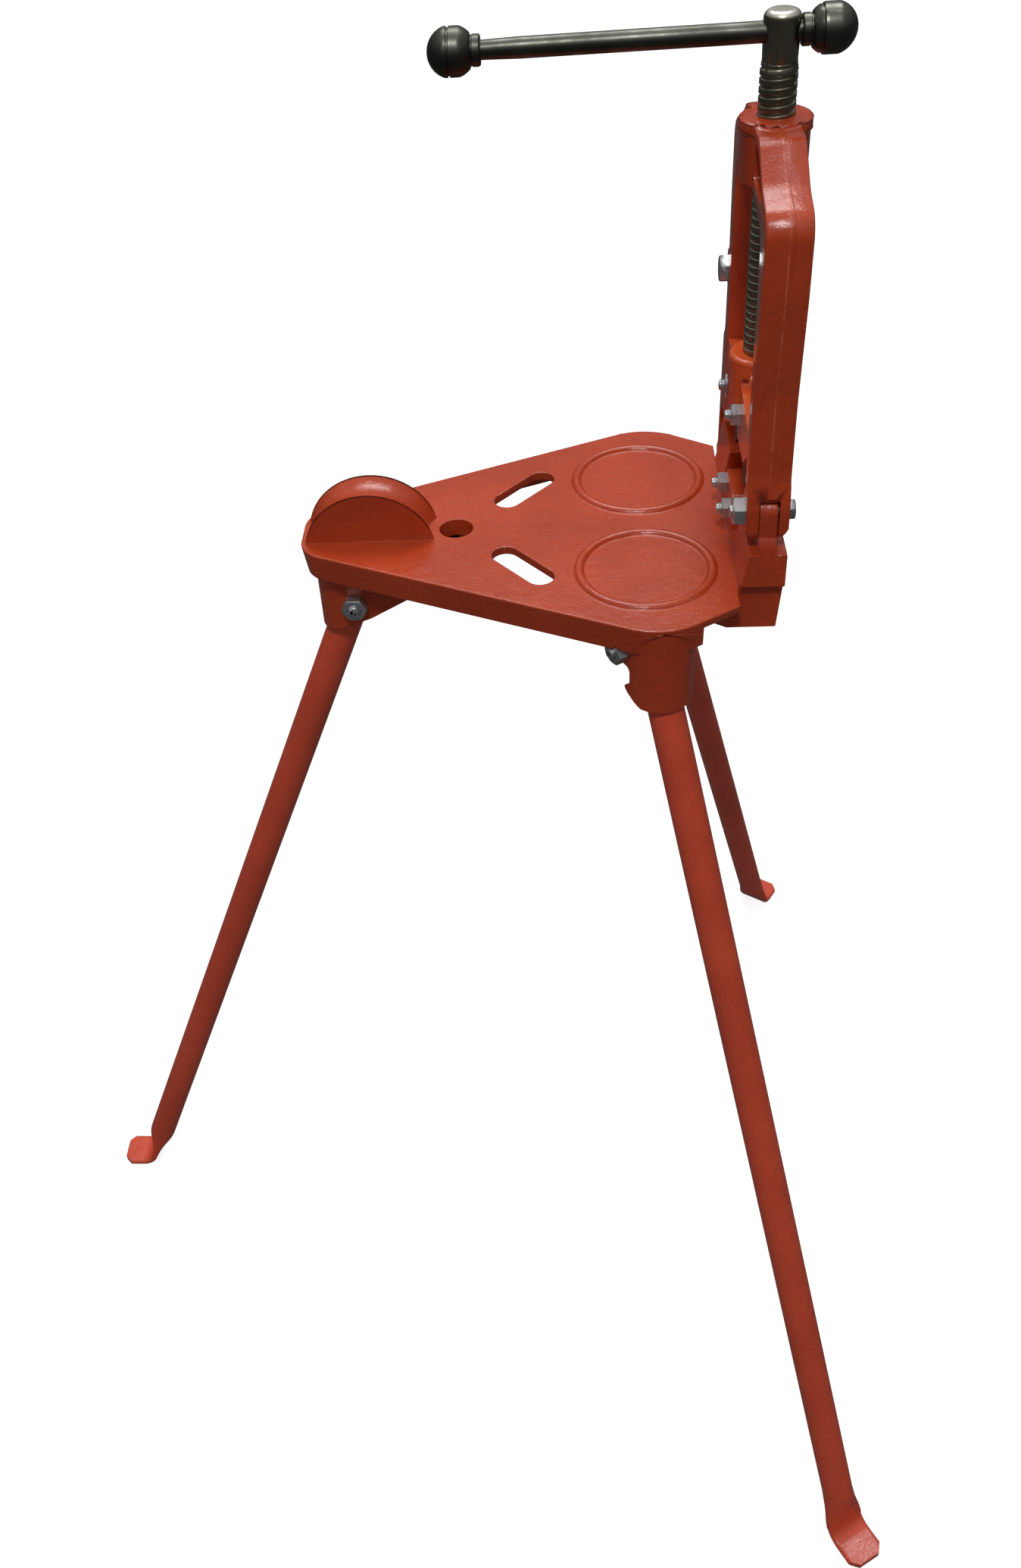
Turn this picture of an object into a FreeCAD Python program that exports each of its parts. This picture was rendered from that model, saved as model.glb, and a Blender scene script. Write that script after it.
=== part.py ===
import FreeCAD, Part
import math
import os

# Tripod pipe vise stand, in millimetres, +Z up.
# Every shape is drawn in the head's frame: its origin is where the clamp screw's axis meets
# the plane of the tray's top, +X runs along a gripped pipe, away from the pipe rest, and +Y
# is the latch side. The finished nodes are then moved so that the origin is on the floor, at
# the middle of the whole stand. "Near" is the -Y side and "far" the +Y side.

Vector = FreeCAD.Vector
X_AXIS = Vector(1, 0, 0)
Y_AXIS = Vector(0, 1, 0)
Z_AXIS = Vector(0, 0, 1)
HUGE = 400.0

# ---------------------------------------------------------------- driving dimensions
TRAY_HEIGHT = 772.5

# clearances between pieces, radial or per side
BOLT_CLEARANCE = 0.5
RUNNING_CLEARANCE = 0.08
SIDE_CLEARANCE = 0.7
JAW_SEAT_GAP = 0.3

# tray
TRAY_FRONT_X = -317.0
TRAY_FRONT_HALF = 25.8
TRAY_CORNER_X = -65.5
TRAY_CORNER_HALF = 136.0
TRAY_END_X = -16.0
TRAY_END_HALF = 104.0
TRAY_FRONT_RADIUS = 24.0
TRAY_CORNER_RADIUS = 46.0
TRAY_PLATE = 6.5
TRAY_WALL = 7.0
SKIRT_DEPTH = 22.0
SKIRT_DRAFT = 3.0
RIM_RADIUS = 1.2

RING_X = -74.8
RING_Y = 58.4
RING_RADIUS = 44.7
RING_HALF_WIDTH = 3.3
RING_HEIGHT = 2.8

POST_HOLE_X = -205.8
POST_HOLE_RADIUS = 11.9
POST_HOLE_COLLAR = 5.0
POST_HOLE_DEPTH = 14.0

SLOT_X = -157.7
SLOT_Y = 49.5
SLOT_LENGTH = 56.0
SLOT_WIDTH = 19.0
SLOT_ANGLE = 49.0

# grooved pipe rest
REST_X = -267.0
REST_RADIUS = 47.5
REST_DROP = 10.0
REST_WIDTH = 28.2
REST_GROOVE_RADIUS = 23.0
REST_GROOVE_DEPTH = 4.6

# legs and their sockets
LEG_RADIUS = 12.5
LEG_WALL = 2.5
LEG_SPLAY = 22.4
SIDE_LEG_BEARING = 58.4
LEG_END = 9.0
FOOT_WIDTH = 33.0
FOOT_THICKNESS = 6.0
FOOT_BEND_RADIUS = 14.0
FOOT_REACH = 29.0
FOOT_TIP_CHAMFER = 8.0
FOOT_FLATTENING = 34.0
LEG_CLEARANCE = 0.6

FRONT_PIVOT_X = -281.9
FRONT_PIVOT_DROP = 48.5
SIDE_PIVOT_X = -73.2
SIDE_PIVOT_Y = 97.4
SIDE_PIVOT_DROP = 28.0
PIVOT_BOLT_RADIUS = 5.0

SOCKET_HALF = 23.0
FRONT_SOCKET_REACH = 28.8
FRONT_SOCKET_DROP = 28.0
SIDE_SOCKET_REACH = 33.7
SIDE_SOCKET_DROP = 41.0
CHEEK_DROP = 12.5
CHEEK_KNEE = 11.0
CHEEK_KNEE_ROUND = 12.0
CHEEK_LENGTH = 82.0
CHEEK_SLOPE = 29.3
EAR_RADIUS = 11.0
EAR_ROUND = 9.0
NOTCH_ROUND = 4.0
LIP_HEIGHT = 12.0
LIP_LENGTH = 7.0
LIP_SLOPE = 5.0
LIP_THICKNESS = 4.0
LIP_RUNOUT = 10.0
LIP_ROUND = 2.0
NUT_CLEARANCE = 0.8
STOP_EDGE = 13.7
STOP_DROP = 9.0
STOP_WALL = 4.5

# vise base: the end wall of the tray
BASE_FACE_X = 13.5
BASE_BOTTOM = -31.0
BASE_FOOT_X = -22.0
BASE_KEEL_X = -40.0
BASE_KEEL_BOTTOM = -23.0
BASE_LEAN = 3.0
BASE_HALF = 86.0
LEDGE_Z = 5.5
PILLAR_HALF = 92.0
PILLAR_INNER = 40.0
PILLAR_TOP = 30.0
PILLAR_FACE_X = -11.0
TONGUE_X = 0.8
TONGUE_WIDTH = 11.6
TONGUE_RADIUS = 10.0
TONGUE_FLARE_Z = 40.0
WEB_FRONT_X = -15.0
WEB_HALF = 24.0
WEB_TOP = 31.0
WEB_SHOULDER = 7.5

# hinge and yoke
HINGE_Y = 75.5
HINGE_Z = 54.5
HINGE_BOLT_RADIUS = 5.0
HINGE_HEAD_FLATS = 12.4
HINGE_HEAD_HEIGHT = 4.6
PRONG_REACH = 12.0
PRONG_BOTTOM = 37.5
PRONG_KNEE = 46.5
PRONG_TIP_HALF = 8.5
PRONG_ROUND = 7.0
FORK_FLOOR_RADIUS = 12.2
FORK_MOUTH_TOP = 68.0
FORK_MOUTH_DEPTH = 4.5
FORK_MOUTH_ROUND = 3.0
YOKE_HALF_THICKNESS = 13.5
YOKE_TOP = 276.0
CROWN_HALF = 34.0
CROWN_ROUND = 22.0
BEND_Y = 62.0
BEND_Z = 257.0
BEND_ROUND = 40.0
YOKE_SHOULDER_Y = 91.0
YOKE_SHOULDER_Z = 249.0
SHOULDER_ROUND = 17.0
FLANK_Y = 90.0
FLANK_Z = 201.0
FLANK_ROUND = 90.0
YOKE_WAIST_Y = 82.5
YOKE_WAIST_Z = 135.0
WAIST_ROUND = 150.0
ANKLE_Z = 82.5
ANKLE_ROUND = 40.0
HEEL_RISE = 6.0
HEEL_ROUND = 20.0
WINDOW_HALF = 68.5
WINDOW_TOP = 239.0
WINDOW_CORNER = 16.0
WINDOW_FOOT_Z = 67.5
WINDOW_ARCH = 5.0
GUIDE_HALF_WIDTH = 4.0
GUIDE_DEPTH = 5.0
GUIDE_BOTTOM = 74.0
GUIDE_TOP = 222.0
BOSS_RADIUS = 20.5
BOSS_TOP = 278.0
BOSS_RIM = 1.0
BOSS_RIM_DEPTH = 7.0
RECESS_DEPTH = 8.0
RECESS_BORDER = 8.5
RECESS_TOP_Y = 37.0
RECESS_BOTTOM_Y = 72.0
RECESS_ROUND = 4.0

# latch hook, drawn latched and then swung out by the release angle
LATCH_Y = 92.0
LATCH_Z = 145.0
LATCH_BOLT_RADIUS = 5.0
LATCH_EAR_RADIUS = 13.5
LATCH_LUG_RADIUS = 11.5
LATCH_LUG_HALF = 6.0
LATCH_OUTER_Y = 101.0
LATCH_HALF_THICKNESS = 12.3
LATCH_RELEASE = 2.6
LATCH_NOSE_DEPTH = 10.0
LATCH_GAP = 0.6
LATCH_NOSE_ROUND = 1.5
LATCH_TOE_ROUND = 7.0
LATCH_HOLLOW_Y = 94.5
LATCH_HOLLOW_Z = 98.5
LATCH_HOLLOW_ROUND = 8.0
LATCH_NECK_DROP = 10.0
LATCH_SLOT_DROP = 30.0
LATCH_ARM_GAP = 2.0
LATCH_FORK_GAP = 1.0
LATCH_TONGUE_DROP = 2.0
LATCH_PILLAR_RISE = 4.0
LATCH_SHOULDER = 11.5

# jaws and their carrier
PIPE_AXIS_Z = 53.1
JAW_APEX = 18.8
JAW_REACH = 26.0
JAW_HALF = 33.0
JAW_BACK = 48.0
JAW_THICKNESS = 8.6
JAW_SPLIT = 0.4
TOOTH_PITCH = 4.0
TOOTH_DEPTH = 1.1
JAW_BOLT_RADIUS = 4.0
LOWER_BOLT_Y = 17.0
LOWER_BOLT_Z = 20.0
UPPER_BOLT_Y = 21.0
UPPER_BOLT_Z = 93.5

CARRIER_HALF_THICKNESS = 13.0
CARRIER_SIDE_GAP = 1.0
CARRIER_GUIDE_GAP = 0.5
CARRIER_BOTTOM = 73.0
CARRIER_EAR_BOTTOM = 89.0
CARRIER_EAR_TOP = 105.0
CARRIER_NECK_Z = 112.0
CARRIER_BOSS_RADIUS = 20.0
CARRIER_BOSS_TOP = 128.3
CARRIER_BOSS_ROUND = 3.0
CARRIER_EAR_LENGTH = 12.0
CARRIER_EAR_ROUND = 8.0
CARRIER_TIP_ROUND = 3.0
CARRIER_SLOPE = 20.0
CARRIER_ARCH = 12.0
CARRIER_CLOSING = 23.0
WING_GAP = 1.2

# hexagons, as shares of the bolt's radius
HEX_FLATS = 3.35
BOLT_HEAD_HEIGHT = 1.28
NUT_HEIGHT = 1.6
BOLT_TAIL = 2.0
PIVOT_BOLT_TAIL = 2.1
JAW_BOLT_TAIL = 2.6
TAIL_CHAMFER = 0.2

# the chamfer on a hexagon's crown: how flat it is and how far it cuts past the flats
HEX_CROWN_SLOPE = 1.7
HEX_CROWN_CUT = 0.5

# clamp screw and T-handle
SCREW_RADIUS = 11.0
SCREW_SHOULDER_Z = 302.0
SCREW_END_Z = 106.3
HEAD_RADIUS = 10.0
HEAD_TOP = 335.5
HEAD_ROUND = 4.0
PIN_RADIUS = 2.0
PIN_OFFSET = 10.2
PIN_Z = 115.0
PIN_GAP = 0.4
HANDLE_Z = 323.6
BAR_RADIUS = 6.0
BAR_CLEARANCE = 0.3
BALL_RADIUS = 14.5
BALL_FLAT = 13.9
BALL_SOCKET = 9.0
COLLAR_RADIUS = 8.6
HANDLE_RIGHT_X = 27.6
HANDLE_LEFT_X = -186.9
HANDLE_GAP = 0.3

# worked out from the above
WINDOW_INNER = WINDOW_HALF - GUIDE_DEPTH
CARRIER_HALF = WINDOW_HALF - CARRIER_SIDE_GAP
LOWER_APEX_Z = PIPE_AXIS_Z - JAW_APEX
UPPER_APEX_Z = PIPE_AXIS_Z + JAW_APEX


# ---------------------------------------------------------------- plain shapes
def corner_arc(before, corner, after, radius):
    """Start, middle and end of the arc that rounds a corner of an outline."""
    back = (before - corner).normalize()
    ahead = (after - corner).normalize()
    half = back.getAngle(ahead) / 2
    inward = (back + ahead).normalize()
    centre = corner + inward * (radius / math.sin(half))
    reach = radius / math.tan(half)
    return corner + back * reach, centre - inward * radius, corner + ahead * reach


def outline(points, place):
    """A closed wire of straight sides. A point (a, b, radius) is a rounded corner."""
    flat = [Vector(point[0], point[1], 0) for point in points]
    corners = []
    for index, point in enumerate(points):
        here = flat[index]
        if len(point) == 2:
            corners.append((here, None, here))
            continue
        after = flat[(index + 1) % len(flat)]
        corners.append(corner_arc(flat[index - 1], here, after, point[2]))
    edges = []
    for index, (start, middle, end) in enumerate(corners):
        previous_end = corners[index - 1][2]
        if previous_end.distanceToPoint(start) > 1e-6:
            edges.append(Part.LineSegment(place(previous_end), place(start)).toShape())
        if middle is not None:
            edges.append(Part.Arc(place(start), place(middle), place(end)).toShape())
    return Part.Wire(edges)


def plan_prism(points, low, high):
    """An outline of (x, y) points, between two heights."""
    wire = outline(points, lambda p: Vector(p.x, p.y, low))
    return Part.Face(wire).extrude(Vector(0, 0, high - low))


def side_prism(points, left, right):
    """An outline of (x, z) points, between two values of y."""
    wire = outline(points, lambda p: Vector(p.x, left, p.y))
    return Part.Face(wire).extrude(Vector(0, right - left, 0))


def end_prism(points, back, front):
    """An outline of (y, z) points, between two values of x."""
    wire = outline(points, lambda p: Vector(back, p.x, p.y))
    return Part.Face(wire).extrude(Vector(front - back, 0, 0))


def block(x_low, x_high, y_low, y_high, z_low, z_high):
    return Part.makeBox(x_high - x_low, y_high - y_low, z_high - z_low, Vector(x_low, y_low, z_low))


def rod(radius, start, end):
    """A cylinder from one point to another."""
    return Part.makeCylinder(radius, (end - start).Length, start, end - start)


def hexagon_corner(flats):
    """The radius of a hexagon's corners from its width across flats."""
    return flats / 2 / math.cos(math.pi / 6)


def hexagon(flats, start, end):
    """A hexagonal prism from one point to another, with its crown chamfered at the end."""
    height = (end - start).Length
    corner = hexagon_corner(flats)
    points = [
        Vector(corner * math.cos(math.radians(60 * k)), corner * math.sin(math.radians(60 * k)), 0)
        for k in range(7)
    ]
    prism = Part.Face(Part.makePolygon(points)).extrude(Vector(0, 0, height))
    crown_base = flats / 2 + height * HEX_CROWN_SLOPE
    crown = Part.makeCone(crown_base, flats / 2 - HEX_CROWN_CUT, height)
    shape = prism.common(crown)
    shape.Placement = FreeCAD.Placement(start, FreeCAD.Rotation(Z_AXIS, end - start))
    return shape


def mirrored(shape):
    """The same shape on the other side of the stand's middle plane."""
    return shape.mirror(Vector(0, 0, 0), Y_AXIS)


def both_sides(shape):
    return shape.fuse(mirrored(shape))


# ---------------------------------------------------------------- fasteners
def headed_bolt(radius, flats, height, head_face, nut_face, tail):
    """A bolt from the face under its head to a tail past the nut's seat."""
    along = (nut_face - head_face).normalize()
    chamfer = radius * TAIL_CHAMFER
    end = nut_face + along * tail
    shank = rod(radius, head_face, end - along * chamfer)
    point = Part.makeCone(radius, radius - chamfer, chamfer, end - along * chamfer, along)
    shank = shank.fuse(point)
    return shank.fuse(hexagon(flats, head_face, head_face - along * height)).removeSplitter()


def hex_bolt(radius, head_face, nut_face, tail):
    flats = radius * HEX_FLATS
    height = radius * BOLT_HEAD_HEIGHT
    return headed_bolt(radius, flats, height, head_face, nut_face, tail)


def hex_nut(radius, seat, along):
    """A nut on a seat, with a bore that the bolt's thread fills."""
    height = radius * NUT_HEIGHT
    nut = hexagon(radius * HEX_FLATS, seat, seat + along * height)
    return nut.cut(rod(radius, seat - along, seat + along * (height + 1)))


# ---------------------------------------------------------------- legs
def leg_frames():
    """Each leg's pivot point and outward bearing in degrees from +X."""
    return {
        "leg_front": (Vector(FRONT_PIVOT_X, 0, -FRONT_PIVOT_DROP), 180.0),
        "leg_near": (Vector(SIDE_PIVOT_X, -SIDE_PIVOT_Y, -SIDE_PIVOT_DROP), -SIDE_LEG_BEARING),
        "leg_far": (Vector(SIDE_PIVOT_X, SIDE_PIVOT_Y, -SIDE_PIVOT_DROP), SIDE_LEG_BEARING),
    }


def at_leg(shape, name):
    """Moves a shape from the leg's own frame (pivot at 0, outward along +X) to the head."""
    pivot, bearing = leg_frames()[name]
    placed = shape.copy()
    placed.rotate(Vector(0, 0, 0), Z_AXIS, bearing)
    placed.translate(pivot)
    return placed


def squashed_section(centre, along_thickness, half_width, half_thickness, squareness):
    """One section of the tube's end: a closed curve between a circle and a flat strap."""
    count = 24
    points = []
    for step in range(count):
        angle = 2 * math.pi * step / count
        cosine, sine = math.cos(angle), math.sin(angle)
        across = math.copysign(abs(cosine) ** (2 / squareness), cosine) * half_width
        through = math.copysign(abs(sine) ** (2 / squareness), sine) * half_thickness
        points.append(centre + Y_AXIS * across + along_thickness * through)
    curve = Part.BSplineCurve()
    curve.interpolate(Points=points, PeriodicFlag=True)
    return Part.Wire([curve.toShape()])


def leg(pivot_drop):
    """A tube from just above its pivot to a foot that is pressed flat and bent outward."""
    splay = math.radians(LEG_SPLAY)
    down = Vector(math.sin(splay), 0, -math.cos(splay))
    outward = Vector(math.cos(splay), 0, math.sin(splay))
    pivot_height = TRAY_HEIGHT - pivot_drop
    half = FOOT_THICKNESS / 2
    corner_length = (pivot_height - half) / math.cos(splay)
    bend_reach = FOOT_BEND_RADIUS * math.tan((math.pi / 2 - splay) / 2)
    bend_start = down * (corner_length - bend_reach)
    tube_end = bend_start - down * FOOT_FLATTENING

    tube = rod(LEG_RADIUS, down * -LEG_END, tube_end)
    tube = tube.cut(rod(LEG_RADIUS - LEG_WALL, down * (-LEG_END - 1), tube_end))
    tube = tube.cut(rod(PIVOT_BOLT_RADIUS + RUNNING_CLEARANCE, Y_AXIS * -HUGE, Y_AXIS * HUGE))

    sections = [Part.Wire([Part.Circle(tube_end, down, LEG_RADIUS).toShape()])]
    stages = ((0.4, 0.35, 2.3), (0.75, 0.85, 4.0), (1.0, 1.0, 7.0))
    for share, flattened, squareness in stages:
        width = LEG_RADIUS + (FOOT_WIDTH / 2 - LEG_RADIUS) * flattened
        thickness = LEG_RADIUS + (half - LEG_RADIUS) * flattened
        centre = tube_end + down * (FOOT_FLATTENING * share)
        sections.append(squashed_section(centre, outward, width, thickness, squareness))
    flattening = Part.makeLoft(sections, True, False)

    bend_centre = bend_start + outward * FOOT_BEND_RADIUS
    middle = (outward * -1 + Z_AXIS * -1).normalize()
    bend_end = bend_centre - Z_AXIS * FOOT_BEND_RADIUS
    tip = down * corner_length + X_AXIS * FOOT_REACH
    path = Part.Wire(
        [
            Part.Arc(bend_start, bend_centre + middle * FOOT_BEND_RADIUS, bend_end).toShape(),
            Part.LineSegment(bend_end, tip).toShape(),
        ]
    )
    flat = FOOT_WIDTH / 2 - half
    corners = [bend_start + Y_AXIS * (side * flat) + outward * (face * half)
               for side, face in ((-1, -1), (1, -1), (1, 1), (-1, 1))]
    strap = Part.Wire(
        [
            Part.LineSegment(corners[0], corners[1]).toShape(),
            Part.Arc(corners[1], bend_start + Y_AXIS * (flat + half), corners[2]).toShape(),
            Part.LineSegment(corners[2], corners[3]).toShape(),
            Part.Arc(corners[3], bend_start - Y_AXIS * (flat + half), corners[0]).toShape(),
        ]
    )
    paddle = path.makePipeShell([strap], True, False)
    for side in (-1, 1):
        edge = side * (FOOT_WIDTH / 2 + 1)
        nick = [
            (tip.x - FOOT_TIP_CHAMFER, edge),
            (tip.x + 1, edge),
            (tip.x + 1, side * (FOOT_WIDTH / 2 - FOOT_TIP_CHAMFER)),
        ]
        paddle = paddle.cut(plan_prism(nick, tip.z - HUGE, tip.z + half + 1))
    return tube.fuse([flattening, paddle]).removeSplitter()


# ---------------------------------------------------------------- head casting
def tray_outline():
    return [
        (TRAY_FRONT_X, -TRAY_FRONT_HALF, TRAY_FRONT_RADIUS),
        (TRAY_CORNER_X, -TRAY_CORNER_HALF, TRAY_CORNER_RADIUS),
        (TRAY_END_X, -TRAY_END_HALF),
        (TRAY_END_X, TRAY_END_HALF),
        (TRAY_CORNER_X, TRAY_CORNER_HALF, TRAY_CORNER_RADIUS),
        (TRAY_FRONT_X, TRAY_FRONT_HALF, TRAY_FRONT_RADIUS),
    ]


def tray():
    """A plate with a skirt all round, raised rings, a post hole and two slots."""
    top = Part.Face(outline(tray_outline(), lambda p: Vector(p.x, p.y, 0)))
    bottom = top.makeOffset2D(-SKIRT_DRAFT)
    bottom.translate(Vector(0, 0, -SKIRT_DEPTH))
    solid = Part.makeLoft([bottom.OuterWire, top.OuterWire], True, True)
    top_edges = [edge for edge in solid.Edges if edge.BoundBox.ZMin > -0.01]
    rounded = [edge for edge in top_edges if edge.BoundBox.XMin < TRAY_END_X - 1]
    solid = solid.makeFillet(RIM_RADIUS, rounded)
    inside = top.makeOffset2D(-TRAY_WALL)
    inside.translate(Vector(0, 0, -TRAY_PLATE))
    solid = solid.cut(inside.extrude(Vector(0, 0, -HUGE)))
    bare_corner = block(BASE_KEEL_X, TRAY_END_X + 1, BASE_HALF, HUGE, -HUGE, -TRAY_PLATE)
    solid = solid.cut(both_sides(bare_corner))
    ring_tube = (RING_HALF_WIDTH**2 + RING_HEIGHT**2) / (2 * RING_HEIGHT)
    ring = Part.makeTorus(RING_RADIUS, ring_tube, Vector(RING_X, RING_Y, RING_HEIGHT - ring_tube))
    collar_bottom = Vector(POST_HOLE_X, 0, -POST_HOLE_DEPTH)
    collar = rod(POST_HOLE_RADIUS + POST_HOLE_COLLAR, collar_bottom, Vector(POST_HOLE_X, 0, -1))
    return solid.fuse([both_sides(ring), collar])


def tray_holes():
    post = rod(POST_HOLE_RADIUS, Vector(POST_HOLE_X, 0, -HUGE), Vector(POST_HOLE_X, 0, HUGE))
    end = (SLOT_LENGTH - SLOT_WIDTH) / 2
    half = SLOT_WIDTH / 2
    slot = block(-end, end, -half, half, -HUGE, HUGE)
    for side in (-end, end):
        slot = slot.fuse(rod(half, Vector(side, 0, -HUGE), Vector(side, 0, HUGE)))
    slot.rotate(Vector(0, 0, 0), Z_AXIS, SLOT_ANGLE)
    slot.translate(Vector(SLOT_X, SLOT_Y, 0))
    return both_sides(slot).fuse(post)


def pipe_rest():
    """Half of a grooved wheel that stands on the tray and carries the pipe's tail."""
    centre = Vector(REST_X, -REST_WIDTH / 2, -REST_DROP)
    wheel = Part.makeCylinder(REST_RADIUS, REST_WIDTH, centre, Y_AXIS)
    major = REST_RADIUS - REST_GROOVE_DEPTH + REST_GROOVE_RADIUS
    groove = Part.makeTorus(major, REST_GROOVE_RADIUS, Vector(REST_X, 0, -REST_DROP), Y_AXIS)
    above = block(REST_X - HUGE, REST_X + HUGE, -HUGE, HUGE, -TRAY_PLATE / 2, HUGE)
    return wheel.cut(groove).common(above)


def socket_plan(reach, back, height):
    """The plan of a socket: a round nose outward and two straight cheeks inward."""
    nose = reach - SOCKET_HALF
    points = [Vector(-back, -SOCKET_HALF, height), Vector(nose, -SOCKET_HALF, height),
              Vector(nose, SOCKET_HALF, height), Vector(-back, SOCKET_HALF, height)]
    return Part.Wire(
        [
            Part.LineSegment(points[0], points[1]).toShape(),
            Part.Arc(points[1], Vector(reach, 0, height), points[2]).toShape(),
            Part.LineSegment(points[2], points[3]).toShape(),
            Part.LineSegment(points[3], points[0]).toShape(),
        ]
    )


def front_cheek():
    """The side view of the front socket's cheeks: a rib that runs back under the tray."""
    rise = math.tan(math.radians(CHEEK_SLOPE))
    return [
        (-CHEEK_LENGTH, (CHEEK_LENGTH - CHEEK_KNEE) * rise - CHEEK_DROP),
        (-CHEEK_KNEE, -CHEEK_DROP, CHEEK_KNEE_ROUND),
    ]


def side_cheek():
    """The side view of a side socket's cheeks: an ear at the bolt and a lip below it."""
    skirt = SIDE_PIVOT_DROP - SKIRT_DEPTH + 1
    neck = SIDE_SOCKET_REACH - SOCKET_HALF - 1
    lip_top = LIP_HEIGHT - SIDE_SOCKET_DROP
    return [
        (-2 * EAR_RADIUS, skirt),
        (-EAR_RADIUS, skirt, LIP_ROUND),
        (-EAR_RADIUS, -EAR_RADIUS, EAR_ROUND),
        (neck, -EAR_RADIUS, NOTCH_ROUND),
        (neck, lip_top + LIP_SLOPE, LIP_ROUND),
        (neck - LIP_LENGTH, lip_top, LIP_ROUND),
        (neck - LIP_ROUND, lip_top - LIP_THICKNESS, LIP_ROUND),
        (neck + LIP_RUNOUT, -SIDE_SOCKET_DROP + 1),
    ]


def socket(reach, nose_drop, pivot_drop, cheek):
    """The housing around a leg's pivot, in the leg's own frame, before it is hollowed."""
    top = pivot_drop - TRAY_PLATE / 2
    length = -cheek[0][0]
    plans = [socket_plan(reach, length, height) for height in (-nose_drop, top)]
    walls = Part.makeLoft(plans, True, True)
    nose = [(reach, -nose_drop), (reach + 1, -nose_drop)]
    shape = [(reach + 1, top), (-length, top)] + cheek + nose
    return walls.common(side_prism(shape, -HUGE, HUGE))


def socket_hollow(pivot_drop):
    """What the leg sweeps as it folds, with clearance, and the space above it."""
    inner = LEG_RADIUS + LEG_CLEARANCE
    splay = math.radians(LEG_SPLAY)
    down = Vector(math.sin(splay), 0, -math.cos(splay))
    bore = rod(inner, down * -LEG_END, down * HUGE)
    end_sweep = math.hypot(LEG_END, LEG_RADIUS) + LEG_CLEARANCE
    sweep = rod(end_sweep, Y_AXIS * -inner, Y_AXIS * inner)
    ceiling = pivot_drop - TRAY_PLATE
    fold = side_prism(
        [
            (0, 0),
            (down.x * HUGE, down.z * HUGE),
            (-HUGE, down.z * HUGE),
            (-HUGE, ceiling),
            (end_sweep / 2, ceiling),
            (end_sweep / 2, 0),
        ],
        -inner,
        inner,
    )
    return bore.fuse([sweep, fold])


def fold_stop(pivot_drop):
    """A web across the socket, whose lower edge stops the folded leg."""
    inner = LEG_RADIUS + 2 * LEG_CLEARANCE
    clear = math.hypot(LEG_END, LEG_RADIUS) + 2 * LEG_CLEARANCE
    ceiling = pivot_drop - TRAY_PLATE / 2
    shape = [
        (-STOP_EDGE, -STOP_DROP),
        (-clear, -STOP_DROP / 3),
        (-clear, ceiling),
        (-clear - STOP_WALL, ceiling),
        (-clear - STOP_WALL, -STOP_DROP / 3),
    ]
    return side_prism(shape, -inner, inner)


def pivot_space():
    """The room for a pivot bolt and for its head and nut, in the leg's own frame."""
    hole = rod(PIVOT_BOLT_RADIUS + BOLT_CLEARANCE, Y_AXIS * -2 * SOCKET_HALF, Y_AXIS * 2 * SOCKET_HALF)
    corner = hexagon_corner(PIVOT_BOLT_RADIUS * HEX_FLATS)
    end = SOCKET_HALF + PIVOT_BOLT_RADIUS * NUT_HEIGHT + NUT_CLEARANCE
    ends = [rod(corner + NUT_CLEARANCE, Y_AXIS * (side * SOCKET_HALF), Y_AXIS * (side * end))
            for side in (-1, 1)]
    return hole.fuse(ends)


def base_tongue():
    """The near tongue that a fork of the yoke straddles, flared at its foot."""
    back = TONGUE_X - TONGUE_WIDTH / 2
    front = TONGUE_X + TONGUE_WIDTH / 2
    shape = [
        (-PILLAR_HALF, PILLAR_TOP - 1),
        (-PILLAR_HALF, PILLAR_TOP),
        (-HINGE_Y - TONGUE_RADIUS, TONGUE_FLARE_Z),
        (-HINGE_Y - TONGUE_RADIUS, HINGE_Z),
        (-HINGE_Y + TONGUE_RADIUS, HINGE_Z),
        (-HINGE_Y + TONGUE_RADIUS, PILLAR_TOP - 1),
    ]
    eye = rod(TONGUE_RADIUS, Vector(back, -HINGE_Y, HINGE_Z), Vector(front, -HINGE_Y, HINGE_Z))
    return end_prism(shape, back, front).fuse(eye)


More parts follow.
